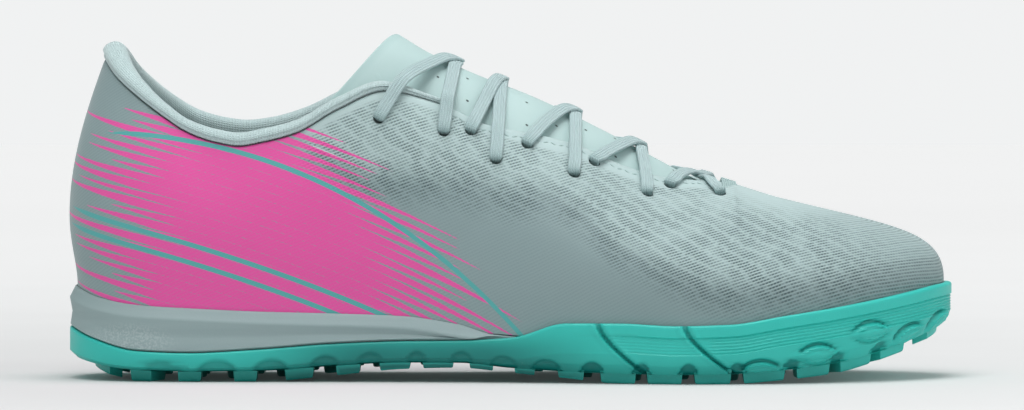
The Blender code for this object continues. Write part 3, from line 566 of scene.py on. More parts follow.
def rib_height(station, share):
    """The fine ribs in the sunk strip: strong at the toe, and faint ones at the ball."""
    faint = 0.45 * fade(station, 0.60, 0.61) * (1 - fade(station, 0.70, 0.712))
    strong = fade(station, 0.712, 0.722) + faint
    return RIB_STAND * strong * (0.5 - 0.5 * math.cos(2 * math.pi * TOE_RIBS * share))


def cup_corner(column):
    """Where the outsole's floor turns up into its wall, and how high the bevel there rises."""
    corner = column.on(SOLE_LIP + CUP_BEVEL, "under", OUTSOLE_FLOOR)
    return corner, min(CUP_BEVEL, 0.6 * (sole_z("wall", column.station) - corner[2]))


def outsole_section(column):
    """From the middle of the underside out to the wall, up it, and back over the inner floor;
    and how far each point is sunk, in mm, and whether it is on the wall."""
    station = column.station
    tuck = along(WALL, "tuck", station) * SOLE_HEIGHT
    band = along(WALL, "band", station) * SOLE_HEIGHT
    edge = column.on(tuck, "under")
    wall = sole_z("wall", station)
    band_z = wall - min(BAND_HEIGHT, 0.45 * (wall - edge[2]))
    ribs_top = band_z - BAND_STEP
    ribs_foot = ribs_top - min(RIB_HEIGHT, 0.45 * (ribs_top - edge[2]))
    skirt = ribs_foot - BAND_STEP
    corner, rise = cup_corner(column)
    underside = [column.on(blend(column.radius, tuck, i / 10), "under") for i in range(11)]
    bend = (blend(0.4 * band, tuck, 0.30), blend(edge[2], skirt, 0.45))
    wall_line = refine(
        [np.array(point) for point in (
            (tuck, edge[2]), bend, (0.4 * band, skirt), (band, ribs_foot), (band, ribs_top),
            (0, band_z), (0, wall - 0.7 * MM), (0.2 * MM, wall - 0.25 * MM), (0.6 * MM, wall),
        )],
        (14, 20, 1, 24, 1, 4, 1, 1),
    )[1:]
    outside, laid = [], [(0, 0)] * len(underside)
    for inset, z in wall_line:
        smooth = inset
        x = column.at(0, 0)[0]
        if ribs_foot <= z <= ribs_top and band > 0:
            inset = inset - rib_height(station, (z - ribs_foot) / (ribs_top - ribs_foot))
        if z < band_z and station > FOREFOOT:
            inset = inset - leaf_height(x, z)
        if station > FOREFOOT:
            inset = inset + groove_depth(x, z)
        inset = inset + arch_depth(station, z - edge[2])
        outside.append(column.at(inset, z))
        laid.append(((inset - smooth) * 1000, 1))
    inside = [
        column.at(SOLE_LIP, wall),
        column.at(SOLE_LIP, corner[2] + rise),
        corner,
        column.on(0.5 * column.radius, "under", OUTSOLE_FLOOR),
        column.on(column.radius, "under", OUTSOLE_FLOOR),
    ]
    return underside + outside + inside, laid + [(0, 0)] * len(inside)


def lug_inset(station):
    return along(WALL, "tuck", station) * SOLE_HEIGHT + RIM_LUG_INSET


def add_lug(work, outline):
    """A lug drawn in plan: its root lies in the outsole's floor, it narrows to its face, and a
    shallow dish is sunk into that face."""
    outline = [np.array(point) for point in outline]
    centre = sum(outline) / len(outline)
    rings = []
    for draft, share in LUG_LEVELS:
        level = []
        for point in outline:
            spoke = point - centre
            x, y = centre + spoke * max(1 - draft * LUG_DRAFT / np.hypot(*spoke), 0.15)
            root = sole_z("under", station_at(point[0])) + LUG_ROOT
            face = sole_z("tread", station_at(x))
            level.append(work.verts.new((x, y, blend(root, face, share))))
        rings.append(level)
    count = len(outline)
    for low, high in zip(rings, rings[1:]):
        for i in range(count):
            j = (i + 1) % count
            work.faces.new((low[i], low[j], high[j], high[i]))
    work.faces.new(rings[0][::-1])
    work.faces.new(rings[-1])


def lug_shapes():
    """Plan outlines of the lugs under the rim, the two end lugs and the studs between them."""
    for side in (OUTER, INNER):
        for lug in RIM_LUGS:
            outline = []
            columns = [Column(side, blend(lug.start, lug.end, i / 4)) for i in range(5)]
            for column in columns:
                outline.append(column.at(lug_inset(column.station), 0)[:2])
            for column in columns[::-1]:
                outline.append(column.at(lug_inset(column.station) + RIM_LUG_DEPTH, 0)[:2])
            yield outline
    ends = ((HEEL_STATION, 0, HEEL_ROUND, HEEL_LUG_ARC), (TOE_STATION, 1, TOE_ROUND, TOE_LUG_ARC))
    for pole, tip, power, arc in ends:
        outline, inward = [], []
        for i in range(-6, 7):
            share = math.cos(math.radians(arc) * i / 6) ** (2 / power)
            column = Column(OUTER if i < 0 else INNER, blend(pole, tip, share))
            outline.append(column.at(lug_inset(column.station), 0)[:2])
            inward.append(column.at(lug_inset(column.station) + END_LUG_DEPTH, 0)[:2])
        yield outline + inward[::-1]
    for row in STUD_ROWS:
        x = row * STUD_PITCH_ALONG
        station = station_at(x)
        taken = lug_inset(station) + RIM_LUG_DEPTH + STUD_MARGIN + STUD_RADIUS
        low, high = (Column(side, station).rim[1] - side * taken for side in (OUTER, INNER))
        stagger = row % 2 / 2
        count = int((high - low) / 2 / STUD_PITCH_ACROSS - stagger) + 1
        middle = (low + high) / 2 if row else 0.0
        steps = {i + stagger for i in range(count)} | {-i - stagger for i in range(count)}
        for step in sorted(steps):
            centre = np.array([x, middle + step * STUD_PITCH_ACROSS])
            turns = [math.pi / 8 * i for i in range(16)]
            reach = [STUD_RADIUS * (1 - 0.13 * math.sin(2 * turn) ** 2) for turn in turns]
            yield [centre + r * np.array([math.cos(t), math.sin(t)]) for r, t in zip(reach, turns)]


sections, wall_laid = zip(*[outsole_section(column) for column in ring(24, 250, 60)])
outsole = ring_piece(
    "outsole_rubber_moulding",
    sections,
    [rubber_finish()],
    laid=[(*place, 0) for section in wall_laid for place in section],
    sharp=50,
)
work = bmesh.new()
for outline in lug_shapes():
    add_lug(work, outline)
bmesh.ops.recalc_face_normals(work, faces=work.faces)
combine(outsole, object_of(work, "lugs"), "UNION")
outsole.data.shade_smooth()
outsole.data.set_sharp_from_angle(angle=math.radians(50))
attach(outsole, "root")
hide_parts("outsole")

# Midsole. Grey foam, moulded as a bed for the foot; from the heel to the arch it stands out over
# the rubber wall and turns up as a bevelled rim round the upper. Cemented above and below.
BROW = 0.16  # height of the rim's bevel, in sole heights
RIM_ENDS = (0.440, 0.490)
OVERHANG_ENDS = (0.455, 0.4925)
LEDGE_ENDS = (0.455, 0.4855)
FOAM = (0.235, 0.325, 0.335)
FOAM_LIGHT = (0.36, 0.47, 0.47)


def foam_finish():
    """Matt foam with a fine skin, faint flow lines along the mould and a smudge at the heel."""
    foam = Finish("foam_skin", 0.62)
    place = foam.place()
    x, y, z = foam.parts(place)
    flow = foam.noise(foam.join(x * 14, y * 14, z * 260), 1.0, 2.0)
    grain = foam.noise(place, 1900.0, 2.0)
    colour = foam.mix(FOAM, FOAM_LIGHT, flow * 0.7 + grain * 0.15)
    across, up = (x + 19 * MM) * 55, (z - 13 * MM) * 150
    smudge = (1 - foam.step(across * across + up * up, 0.0, 1.0)) * foam.step(y * -1, 0.0, 10 * MM)
    speck = foam.step(foam.noise(place, 1500.0, 3.0), 0.42, 0.66)
    colour = foam.mix(colour, (0.50, 0.60, 0.60), smudge * speck * 0.45)
    return foam.coat(colour, 0.55 + grain * 0.2, grain * 0.5 + flow * 0.6, 0.07 * MM)


def midsole_section(column):
    """From the middle of its underside out, up the bevelled rim and back over the foot's bed."""
    station = column.station
    inner = SOLE_LIP + SEAT_GAP
    corner, rise = cup_corner(column)
    corner = corner + np.array([0, 0, SEAT_GAP])
    seat = column.on(inner, "seat")[2]
    rim = 1 - fade(station, *RIM_ENDS)
    overhang = 1 - fade(station, *OVERHANG_ENDS)
    shelf = 1 - fade(station, *LEDGE_ENDS)
    ledge = sole_z("wall", station) + SEAT_GAP
    top = blend(seat, sole_z("top", station), rim)
    brow = BROW * SOLE_HEIGHT * rim

    def stand(inset, z, below):
        return column.at(blend(inner, inset, overhang), blend(seat - below, z, shelf))

    lip = max(SOLE_LIP, blend(inner, 0, overhang) + 0.4 * SEAT_GAP)
    middle = blend(ledge, top - brow, 0.5)
    outside = refine(
        [
            stand(0.9 * MM, ledge, 0.5 * MM),
            stand(0.2 * MM, ledge + 0.5 * MM * shelf, 0.47 * MM),
            stand(0.035 * SOLE_HEIGHT, middle, 0.4 * MM),
            stand(0.1 * MM, top - brow - 0.5 * MM * rim, 0.33 * MM),
            stand(0, top - brow, 0.3 * MM),
            column.at(lip - 0.4 * MM * rim, top - 0.25 * MM * rim),
            column.at(lip, top),
        ],
        (1, 6, 6, 1, 6, 1),
    )
    return [
        column.on(column.radius, "under", OUTSOLE_FLOOR + SEAT_GAP),
        column.on(column.radius * 0.5, "under", OUTSOLE_FLOOR + SEAT_GAP),
        corner,
        column.at(inner, corner[2] + rise),
        column.at(inner, blend(seat - 0.6 * MM, ledge, shelf)),
        *outside,
        column.at(lip, seat - 0.1 * MM),
        column.on(column.radius * 0.5, "seat"),
        column.on(column.radius, "seat"),
    ]


sections = [midsole_section(column) for column in ring(24, 140, 24)]
midsole = ring_piece("midsole_foam_bed", sections, [foam_finish()], sharp=50)
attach(midsole, "root")
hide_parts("midsole")

# Insole. A loose sheet of foam with a brushed cloth face, laid on the midsole inside the upper.
INSOLE_THICKNESS = 3.5 * MM
INSOLE_PLAY = 0.9 * MM
UPPER_WALL = 2.0 * MM
INSOLE_ROUND = 1.0 * MM
CLOTH, CLOTH_SHADE = (0.42, 0.55, 0.54), (0.30, 0.42, 0.42)
THREADS = 6200  # radians of the weave to a metre


def cloth_finish(name, colour, dark):
    """A plain woven cloth of about one millimetre to the thread."""
    cloth = Finish(name, 0.85, Sheen_Weight=0.3, Sheen_Roughness=0.5)
    place = cloth.place()
    x, y, z = cloth.parts(place)
    weave = cloth.maths("SINE", x * THREADS) * cloth.maths("SINE", y * THREADS)
    cloud = cloth.noise(place, 90.0, 3.0)
    shade = cloth.mix(colour, dark, cloud * 0.4 + weave * 0.12)
    return cloth.coat(shade, 0.8 + cloud * 0.1, weave * 0.5 + cloud * 0.4, 0.15 * MM)


def insole_section(column):
    """From the middle of its underside out, round its edge and back over its face."""
    inset = SOLE_LIP + SEAT_GAP + UPPER_WALL + INSOLE_PLAY
    low, high = SEAT_GAP, SEAT_GAP + INSOLE_THICKNESS
    floor = [column.on(blend(column.radius, inset, i / 6), "seat", low) for i in range(7)]
    rim = [
        column.on(inset + 0.05 * MM, "seat", blend(low, high, 0.6)),
        column.on(inset + 0.4 * MM, "seat", high - 0.3 * MM),
        column.on(inset + INSOLE_ROUND, "seat", high),
    ]
    for i in range(1, 11):
        rim.append(column.on(blend(inset + INSOLE_ROUND, column.radius, i / 10), "seat", high))
    return floor + rim


sections = [insole_section(column) for column in ring(20, 90, 20)]
insole = ring_piece("insole_sheet", sections, [cloth_finish("brushed_cloth", CLOTH, CLOTH_SHADE)])
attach(insole, "root")
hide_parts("insole")

# Upper. One lasted wall of embossed knit with a thin fused skin over its lower and rear part, a
# printed heel quarter, ten punched eyelets a side and a soft lining. It is pulled under the
# insole and stands in the sole's cup; its free edge runs round the collar and the throat.
KNIT = (0.365, 0.48, 0.485)
# The paler knit is painted light, laid on higher up the wall, and a random mottle.
KNIT_PAINTED_LIGHT_AND_MOTTLE = (0.50, 0.64, 0.635)
KNIT_SHADE = (0.075, 0.125, 0.13)
SKIN = (0.235, 0.325, 0.335)
SEAM_PALE = (0.62, 0.74, 0.73)
PINK = (0.82, 0.065, 0.37)
LINE_TEAL = (0.085, 0.40, 0.39)
LINING, LINING_SHADE = (0.33, 0.44, 0.44), (0.22, 0.31, 0.31)
EYELET_RADIUS, PIN_LENGTH = 1.8 * MM, 12 * MM
STITCH_DEPTH = 2.6 * MM
FACE_ROWS = 60
ROW_PITCH, DASH_PITCH = 1.12, 1.05  # of the embossed dashes, in mm
BLOCK_PITCH, BLOCK_ROWS = 5.6, 5  # of the blocks that they stand in, in mm and in rows
LANE_PITCH = 2.7  # of the printed streaks, in mm
ROW_CLIMB, ROW_LEAN = 0.42, 0.35  # of the rows of dashes, along the shoe and over its top
ROW_TURN = 10 * MM  # how roundly they turn over the top's middle
SKIN_EDGE = (  # where the fused skin ends: along the shoe and up from the sole's edge, in mm
    (-60, 54), (38, 52), (57, 44), (78, 46), (96, 46), (112, 45), (124, 38), (134, 27), (146, 21),
    (163, 14), (178, 11), (200, 9), (225, 6), (246, 4),
)
PINSTRIPES = (  # height, bow, and both ends along the print, in mm
    (74.0, 0.0030, -60, 112),
    (41.5, 0.0009, -66, 106),
    (36.0, 0.0009, -66, 94),
)

# Bulges, half widths and the tongue's reach are in ball widths, heights in upper heights, falls in
# degrees; rise and over are how far the side's curve is pulled upright and over the foot.
Girth = namedtuple("Girth", "station bulge belly rise over")
GIRTH = (
    Girth(0.00, 0.026, 0.280, 0.35, 0.35),
    Girth(0.14, 0.016, 0.300, 0.38, 0.35),
    Girth(0.30, 0.012, 0.250, 0.40, 0.35),
    Girth(0.45, 0.006, 0.200, 0.43, 0.37),
    Girth(0.60, 0.008, 0.140, 0.42, 0.42),
    Girth(0.75, 0.006, 0.110, 0.44, 0.42),
    Girth(0.86, 0.003, 0.060, 0.50, 0.56),
    Girth(1.00, 0.000, 0.012, 0.60, 0.72),
)
Seam = namedtuple("Seam", "station outer inner outer_height inner_height outer_fall inner_fall")
SEAM = (
    Seam(0.040, 0.285, 0.285, 0.995, 0.995, 70, 70),
    Seam(0.057, 0.285, 0.285, 0.914, 0.922, 70, 70),
    Seam(0.085, 0.285, 0.285, 0.826, 0.845, 72, 72),
    Seam(0.113, 0.285, 0.285, 0.752, 0.782, 75, 75),
    Seam(0.140, 0.285, 0.285, 0.691, 0.732, 78, 78),
    Seam(0.170, 0.292, 0.290, 0.654, 0.700, 80, 80),
    Seam(0.196, 0.300, 0.292, 0.639, 0.689, 80, 80),
    Seam(0.222, 0.304, 0.292, 0.654, 0.700, 79, 79),
    Seam(0.260, 0.305, 0.288, 0.691, 0.739, 77, 77),
    Seam(0.306, 0.295, 0.275, 0.784, 0.820, 72, 71),
    Seam(0.358, 0.275, 0.245, 0.857, 0.900, 64, 62),
    Seam(0.419, 0.262, 0.205, 0.808, 0.876, 58, 52),
    Seam(0.476, 0.255, 0.175, 0.722, 0.815, 52, 42),
    Seam(0.520, 0.240, 0.165, 0.692, 0.765, 48, 38),
    Seam(0.566, 0.222, 0.155, 0.654, 0.712, 43, 34),
    Seam(0.630, 0.200, 0.140, 0.557, 0.608, 39, 30),
    Seam(0.675, 0.165, 0.120, 0.514, 0.542, 34, 26),
    Seam(0.719, 0.105, 0.085, 0.500, 0.508, 22, 17),
    Seam(0.744, 0.045, 0.042, 0.492, 0.493, 8, 6),
    Seam(0.752, 0.000, 0.000, 0.488, 0.488, 0, 0),
)
Ridge = namedtuple("Ridge", "station height tongue")
RIDGE = (
    Ridge(0.290, 1.235, 0.460),
    Ridge(0.330, 1.176, 0.450),
    Ridge(0.371, 1.091, 0.430),
    Ridge(0.405, 1.018, 0.410),
    Ridge(0.456, 0.934, 0.380),
    Ridge(0.520, 0.845, 0.350),
    Ridge(0.566, 0.770, 0.320),
    Ridge(0.608, 0.695, 0.290),
    Ridge(0.657, 0.607, 0.245),
    Ridge(0.700, 0.547, 0.190),
    Ridge(0.752, 0.488, 0.110),
    Ridge(0.800, 0.434, 0.090),
    Ridge(0.844, 0.391, 0.090),
    Ridge(0.900, 0.341, 0.090),
)
TOE_SLOPE = -0.25
Eyelet = namedtuple("Eyelet", "name station depth")
EYELETS = (
    Eyelet("upper_1", 0.352, 9.0 * MM), Eyelet("lower_1", 0.424, 9.5 * MM),
    Eyelet("upper_2", 0.454, 5.0 * MM), Eyelet("lower_2", 0.482, 12.5 * MM),
    Eyelet("upper_3", 0.517, 5.0 * MM), Eyelet("lower_3", 0.569, 13.5 * MM),
    Eyelet("upper_4", 0.592, 5.0 * MM), Eyelet("lower_4", 0.651, 11.0 * MM),
    Eyelet("upper_5", 0.677, 4.6 * MM), Eyelet("lower_5", 0.734, 12.0 * MM),
)
Crease = namedtuple("Crease", "x from_laid to_laid lean width depth")  # laid heights, mm
CREASES = (
    Crease(158 * MM, 20, 46, -0.35, 5.0 * MM, 0.25 * MM),
    Crease(176 * MM, 16, 44, -0.30, 6.0 * MM, 0.25 * MM),
    Crease(64 * MM, 18, 46, 0.50, 6.0 * MM, 0.28 * MM),
    Crease(80 * MM, 14, 40, 0.55, 6.0 * MM, 0.25 * MM),
)


def upper_z(share):
    return SOLE_HEIGHT + share * UPPER_HEIGHT


def seam_of(column):
    """Radius, height and fall of the upper's edge in a column."""
    half, height, fall = ("outer", "outer_height", "outer_fall")
    if column.side == INNER:
        half, height, fall = ("inner", "inner_height", "inner_fall")
    if column.station < HEEL_STATION:
        back = x_at(HEEL_STATION) - x_at(SEAM[0].station)
        beside = along(SEAM, half, HEEL_STATION) * BALL_WIDTH
        radius = 1 / math.hypot(column.out[0] / back, column.out[1] / beside)
        place = station_at(column.pole[0] + column.out[0] * radius)
        return radius, upper_z(along(SEAM, height, place)), along(SEAM, fall, place)
    if column.station >= SEAM[-1].station:
        pole = min(column.station, TOE_STATION)
        slope = -TOE_SLOPE * column.out[0] if column.station > TOE_STATION else 0.0
        return 0.0, upper_z(along(RIDGE, "height", pole)), math.degrees(math.atan(slope))
    radius = along(SEAM, half, column.station) * BALL_WIDTH
    return radius, upper_z(along(SEAM, height, column.station)), along(SEAM, fall, column.station)


def bezier(points, count):
    t = np.linspace(0, 1, count)[:, None]
    weights = np.hstack([(1 - t) ** 3, 3 * t * (1 - t) ** 2, 3 * t * t * (1 - t), t**3])
    return weights @ np.array(points)


def lengths_of(line):
    return np.concatenate([[0], np.cumsum(np.linalg.norm(np.diff(line, axis=0), axis=1))])


def side_curve(column, count):
    """The upper's outer face from its widest place up to the seam, as (radius, height)."""
    edge_radius, edge_z, fall = seam_of(column)
    station = column.station
    foot = column.radius - SOLE_LIP - SEAT_GAP
    wide = foot + along(GIRTH, "bulge", station) * BALL_WIDTH
    low = sole_z("top", station) + along(GIRTH, "belly", station) * UPPER_HEIGHT
    span = math.hypot(wide - edge_radius, edge_z - low)
    pull = along(GIRTH, "over", station) * (span if edge_radius > 0 else wide)
    fall = math.radians(fall)
    return bezier(
        [
            (wide, low),
            (wide, low + along(GIRTH, "rise", station) * (edge_z - low)),
            (edge_radius + pull * math.cos(fall), edge_z - pull * math.sin(fall)),
            (edge_radius, edge_z),
        ],
        count,
    )


def unit(vector):
    return vector / np.linalg.norm(vector)


def at_length(line, lengths, place):
    """The point on a line this far along it; an array of places gives a row for each."""
    return np.array([np.interp(place, lengths, part) for part in line.T]).T


def along_line(line, lengths, place, reach):
    """The point on a line this far along it, and the line's direction over a short reach."""
    near, far = max(place - reach, 0), min(place + reach, lengths[-1])
    ahead = at_length(line, lengths, far) - at_length(line, lengths, near)
    return at_length(line, lengths, place), unit(ahead)


def below_seam(column, depth):
    """Point and outward direction on the upper's face, this far down from the seam."""
    if not hasattr(column, "seam_line"):
        column.seam_line = side_curve(column, 41)[::-1]
        column.seam_lengths = lengths_of(column.seam_line)
    line, lengths = column.seam_line, column.seam_lengths
    here, down = along_line(line, lengths, min(max(depth, 0), lengths[-1]), 0.5 * MM)
    return here + down * min(depth, 0), np.array([-down[1], down[0]])


def upper_place(side, station, depth):
    """A point on the upper's outer face and the direction it faces."""
    column = Column(side, station)
    here, outward = below_seam(column, depth)
    return column.place(*here), unit(np.array([*(column.out * outward[0]), outward[1]]))


def face_of(column):
    """The whole outer face of the upper in a column, evenly spaced from its foot to the seam."""
    station = column.station
    foot = column.radius - SOLE_LIP - SEAT_GAP
    top = sole_z("top", station)
    base = sole_z("seat", station_at(column.pole[0] + column.out[0] * foot)) + SEAT_GAP
    curve = side_curve(column, 60)
    wide, low = curve[0]
    swell = bezier(
        [(foot, top), (foot, blend(top, low, 0.3)), (wide, blend(top, low, 0.6)), (wide, low)], 12
    )
    line = np.vstack([swell, curve[1:]])
    lengths = lengths_of(line)
    even = np.linspace(0, lengths[-1], FACE_ROWS)
    line = at_length(line, lengths, even)
    cup = [(foot, blend(base, top, i / 4)) for i in range(4)]
    laid = [blend(base, top, i / 4) - top for i in range(4)]
    return cup + [tuple(point) for point in line], laid + list(even)


def pressed(x, laid, seam_depth, station):
    """How far the lasted wall stands out of its smooth form at each place."""
    height = np.zeros_like(laid)
    for crease in CREASES:
        middle = crease.x + crease.lean * (laid - crease.from_laid * MM)
        off = np.abs(x - middle) / crease.width
        reach = fade(laid, (crease.from_laid - 6) * MM, (crease.from_laid + 4) * MM)
        reach = reach * (1 - fade(laid, (crease.to_laid - 8) * MM, crease.to_laid * MM))
        trough = np.exp(-off * off * 2.4) - 0.35 * np.exp(-((off - 1.3) ** 2) * 3)
        height -= crease.depth * reach * trough
    open_part = 1 - fade(station, 0.69, 0.742)
    edge = 1 - fade(seam_depth, 0.2 * MM, 1.6 * MM)
    stitched = np.exp(-(((seam_depth - STITCH_DEPTH) / (0.7 * MM)) ** 2))
    stitched = stitched * fade(station, 0.41, 0.43)
    stay = 0.22 * MM * (1 - fade(seam_depth, 15 * MM, 19 * MM)) * fade(station, 0.34, 0.40)
    return height + open_part * (stay - 0.25 * MM * edge - 0.3 * MM * stitched)


def heel_print(knit, place, along_mm, z):
    """The printed heel quarter: lanes full in the middle that taper off at both ends, each at
    its own place, and three plain pinstripes over them."""
    ahead = along_mm * 0.950 - z * 312
    rise = z * 950 + along_mm * 0.312
    bowed = rise + 0.0011 * ahead * ahead
    lane = bowed / LANE_PITCH
    number = knit.maths("FLOOR", lane)
    middle = knit.maths("ABSOLUTE", lane - number - 0.5)
    first = 0.006 * (bowed - 52) ** 2 - 34 + 20 * knit.chance(number)
    last = 58 - 0.042 * (bowed - 46) ** 2 - 18 * knit.chance(number + 57)
    start = (ahead - first) / (18 + 46 * knit.chance(number + 11)) + 1
    end = (last - ahead) / (30 + 38 * knit.chance(number + 23)) + 1
    grow = knit.maths("MINIMUM", start, end)
    width = knit.maths("MAXIMUM", knit.maths("MINIMUM", grow, 0.96), 0.0) * 0.53
    ragged = knit.noise(place, 1300.0, 1.0) * 0.14 - 0.07
    pink = knit.step(width - middle + ragged, -0.02, 0.04) * knit.step(width, 0.02, 0.05)
    stripe = 0.0
    for offset, bend, start, end in PINSTRIPES:
        away = knit.maths("ABSOLUTE", rise + bend * ahead * ahead - offset)
        ends = knit.step(ahead, start, start + 16) * (1 - knit.step(ahead, end - 16, end))
        stripe = 1 - knit.step(away, ends * 0.9 - 0.23, ends * 0.9) + stripe
    return pink, knit.maths("MINIMUM", stripe, 1.0)


def knit_finish():
    """The outer face: rows of short embossed dashes, stepped in slanting blocks, which stop at
    the fused skin's edge and are darkened by painted shade; the printed heel quarter; a pale seam
    where the skin ends; painted light higher up the wall and painted shade low on the toe."""
    knit = Finish("embossed_knit", 0.6, Sheen_Weight=0.1, Sheen_Roughness=0.4)
    place = knit.place()
    x, y, z = knit.parts(place)
    along_mm, up_mm, depth = knit.parts(knit.laid())
    cloud = knit.noise(place, 45.0, 3.0)
    warp = knit.noise(knit.join(along_mm * 0.03, up_mm * 0.03), 1.0, 2.0) - 0.5

    edge = knit.curve(along_mm, SKIN_EDGE)
    skin = 1 - knit.step(up_mm + warp * 6, edge - 5.5, edge + 6.5)
    quarter = 1 - knit.step(along_mm + up_mm * 0.2, 42.0, 52.0)
    skin = knit.maths("MAXIMUM", skin, quarter)
    bare = knit.step(up_mm + warp * 6, edge - 14, edge - 2) * (1 - quarter)
    toe = knit.step(along_mm, 200.0, 240.0)

    # Rows rise gently to the toe. Their beads stand in slanting blocks, a little out of step from
    # one band of rows to the next and parted by pale diagonals
    inward = knit.maths("SQRT", y * y + ROW_TURN**2) * ROW_LEAN
    row = ((z - inward - x * ROW_CLIMB) * 1000 + warp * 2) / ROW_PITCH
    run = along_mm * 0.93 + up_mm * 0.36
    number = knit.maths("FLOOR", row)
    line = knit.dashes(row, 0.50)
    bead = knit.dashes(run / DASH_PITCH + number * 0.16, 0.60) * 0.45 + 0.55
    ragged = knit.chance(number * 1.7 + 0.3) * 1.5
    slant = (run + number * 0.62 + ragged) / BLOCK_PITCH
    slant = slant + knit.chance(knit.maths("FLOOR", number / BLOCK_ROWS)) * 0.4
    block = knit.dashes(slant, 0.76)
    loose = knit.step(knit.noise(knit.join(along_mm * 0.11, up_mm * 0.11), 1.0, 1.0), 0.34, 0.58)
    strong = (0.34 + 0.66 * block) * (0.60 + 0.40 * loose)
    fine_rows = (knit.chance(number + 0.5) * 0.3 + 0.40) * (0.7 + 0.3 * block)
    dents = line * bead * (strong * (1 - toe) + fine_rows * toe)
    top = knit.step(depth, 10.0, 38.0)
    dents = dents * bare * (top + (1 - top) * (1 - knit.step(along_mm, 158.0, 182.0)) * 0.8)
    stay = 1.8 + knit.step(along_mm, 88.0, 116.0) * 3.2
    clear = knit.step(depth, stay, stay + 2.4)
    dents = dents * knit.maths("MAXIMUM", clear, knit.step(along_mm, 165.0, 180.0))
    faint = line * bead * skin * 0.12

    pink, stripe = heel_print(knit, place, along_mm, z)
    fine = knit.noise(place, 2300.0, 2.0)
    # Painted light: the knit is lighter higher up the wall; the cloud adds a random mottle.
    tone = knit.mix(KNIT, KNIT_PAINTED_LIGHT_AND_MOTTLE, knit.step(up_mm, 25.0, 85.0) * 0.6 + cloud * 0.4)
    tone = knit.mix(tone, SKIN, skin * (0.80 + 0.2 * cloud))
    # Painted shade: low on the toe the knit is darkened towards the skin's colour.
    low = 1 - knit.step(up_mm, 3.0, 24.0)
    tone = knit.mix(tone, SKIN, low * toe * 0.5)
    # Painted shade in the pressed-in dashes, fainter under the skin; the fine noise adds a random
    # speckle.
    tone = knit.mix(tone, KNIT_SHADE, dents * 0.95 + faint + fine * 0.05)
    pale = 1 - knit.step(knit.maths("ABSOLUTE", up_mm - edge - 1.0), 0.25, 0.7)
    pale = pale * knit.step(along_mm, 36.0, 40.0) * (1 - knit.step(along_mm, 48.0, 60.0))
    tone = knit.mix(tone, SEAM_PALE, pale * 0.55)
    tone = knit.mix(tone, PINK, pink * (0.98 - line * bead * 0.10 - fine * 0.06))
    tone = knit.mix(tone, LINE_TEAL, stripe)
    height = 0.75 - dents * 0.75 - faint * 0.3 + fine * 0.10 + cloud * 0.2 + pale * 0.3
    rough = 0.64 - skin * 0.16 + fine * 0.10 + pink * 0.05
    return knit.coat(tone, rough, height, 0.30 * MM)


columns = ring(30, 190, 46)
grid, laid, depths = [], [], []
for column in columns:
    points, up = face_of(column)
    grid.append([column.place(*point) for point in points])
    depths.append([up[-1] - height for height in up])
    laid.append(up)
grid, depths, laid = np.array(grid), np.array(depths), np.array(laid)
half = len(columns) // 2 + 1
level = grid[:half, 20, :2]
run = lengths_of(level)
heel_turn = next(i for i, column in enumerate(columns[:half]) if column.station >= HEEL_STATION)
run = run - run[heel_turn]
run = np.concatenate([run, run[1:-1][::-1]])
stations = np.array([column.station for column in columns])[:, None]
height = pressed(grid[:, :, 0], laid, depths, stations)
back_seam = np.exp(-((grid[:, :, 1] / (0.8 * MM)) ** 2)) * (grid[:, :, 0] < -20 * MM)
height = (height - 0.3 * MM * back_seam) * (laid > 1 * MM)
normals = normals_of(grid, around=True)
spokes = np.array([[*column.out, 0.0] for column in columns])[:, None, :]
facing = np.sum(normals * spokes, axis=2).sum()
normals = normals * (1 if facing > 0 else -1)
grid = grid + normals * height[:, :, None]
runs = np.repeat(run[:, None], grid.shape[1], axis=1)
place = np.stack([runs, laid, depths], axis=2) * 1000
upper = ring_piece(
    "upper_knit_wall",
    grid,
    [knit_finish(), cloth_finish("soft_lining", LINING, LINING_SHADE)],
    laid=place.reshape(-1, 3),
    sharp=60,
)
thicken(upper, UPPER_WALL)
work = bmesh.new()
for side in (OUTER, INNER):
    for eyelet in EYELETS:
        here, outward = upper_place(side, eyelet.station, eyelet.depth)
        turn = Vector(outward).to_track_quat("Z", "Y").to_matrix().to_4x4()
        bmesh.ops.create_cone(
            work, cap_ends=True, segments=20, radius1=EYELET_RADIUS, radius2=EYELET_RADIUS,
            depth=PIN_LENGTH, matrix=Matrix.Translation(here) @ turn,
        )
pins = object_of(work, "pins")
# The punched holes' walls are painted nearly black: painted shade inside the eyelets, with a random
# frayed mottle.
cut = Finish("punched_edge", 0.8)
frayed = cut.noise(cut.place(), 1800.0, 2.0)
pins.data.materials.append(cut.coat(cut.mix((0.05, 0.08, 0.085), (0.14, 0.20, 0.20), frayed)))
combine(upper, pins, "DIFFERENCE", "TRANSFER")
flat = upper.data.attributes["laid"].data
missing, known = [], KDTree(len(flat))
for i, (vertex, item) in enumerate(zip(upper.data.vertices, flat)):
    if item.vector.length < 0.01:
        missing.append(i)
    else:
        known.insert(vertex.co, i)
known.balance()
for i in missing:  # points made by the punch take the place of their nearest neighbour
    flat[i].vector = flat[known.find(upper.data.vertices[i].co)[1]].vector
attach(upper, "root")
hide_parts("upper")

# Collar. A padded roll of soft knit round the ankle, sewn to the upper's edge; inside it carries
# on down as the lining of the heel. It thins out towards the throat on both sides.
COLLAR_END = 0.424
COLLAR_TAPER = 0.10
COLLAR_PLAY = 0.6 * MM
ROLL_HEIGHT = 4.8 * MM
HEEL_PADDING = 0.3
COLLAR_SOFT = (0.50, 0.63, 0.63)
COLLAR_FLECK_AND_SHADE = (0.30, 0.41, 0.42)
Roll = namedtuple("Roll", "up inset")  # in roll heights, from the seam and from the upper's face
COLLAR_ROLL = (
    Roll(0.10, -0.10),
    Roll(0.36, -0.26),
    Roll(0.68, -0.18),
    Roll(0.96, 0.14),
    Roll(1.00, 0.52),
    Roll(0.76, 0.94),
    Roll(0.10, 1.12),
    Roll(-1.60, 1.02),
    Roll(-3.00, 0.72),
)


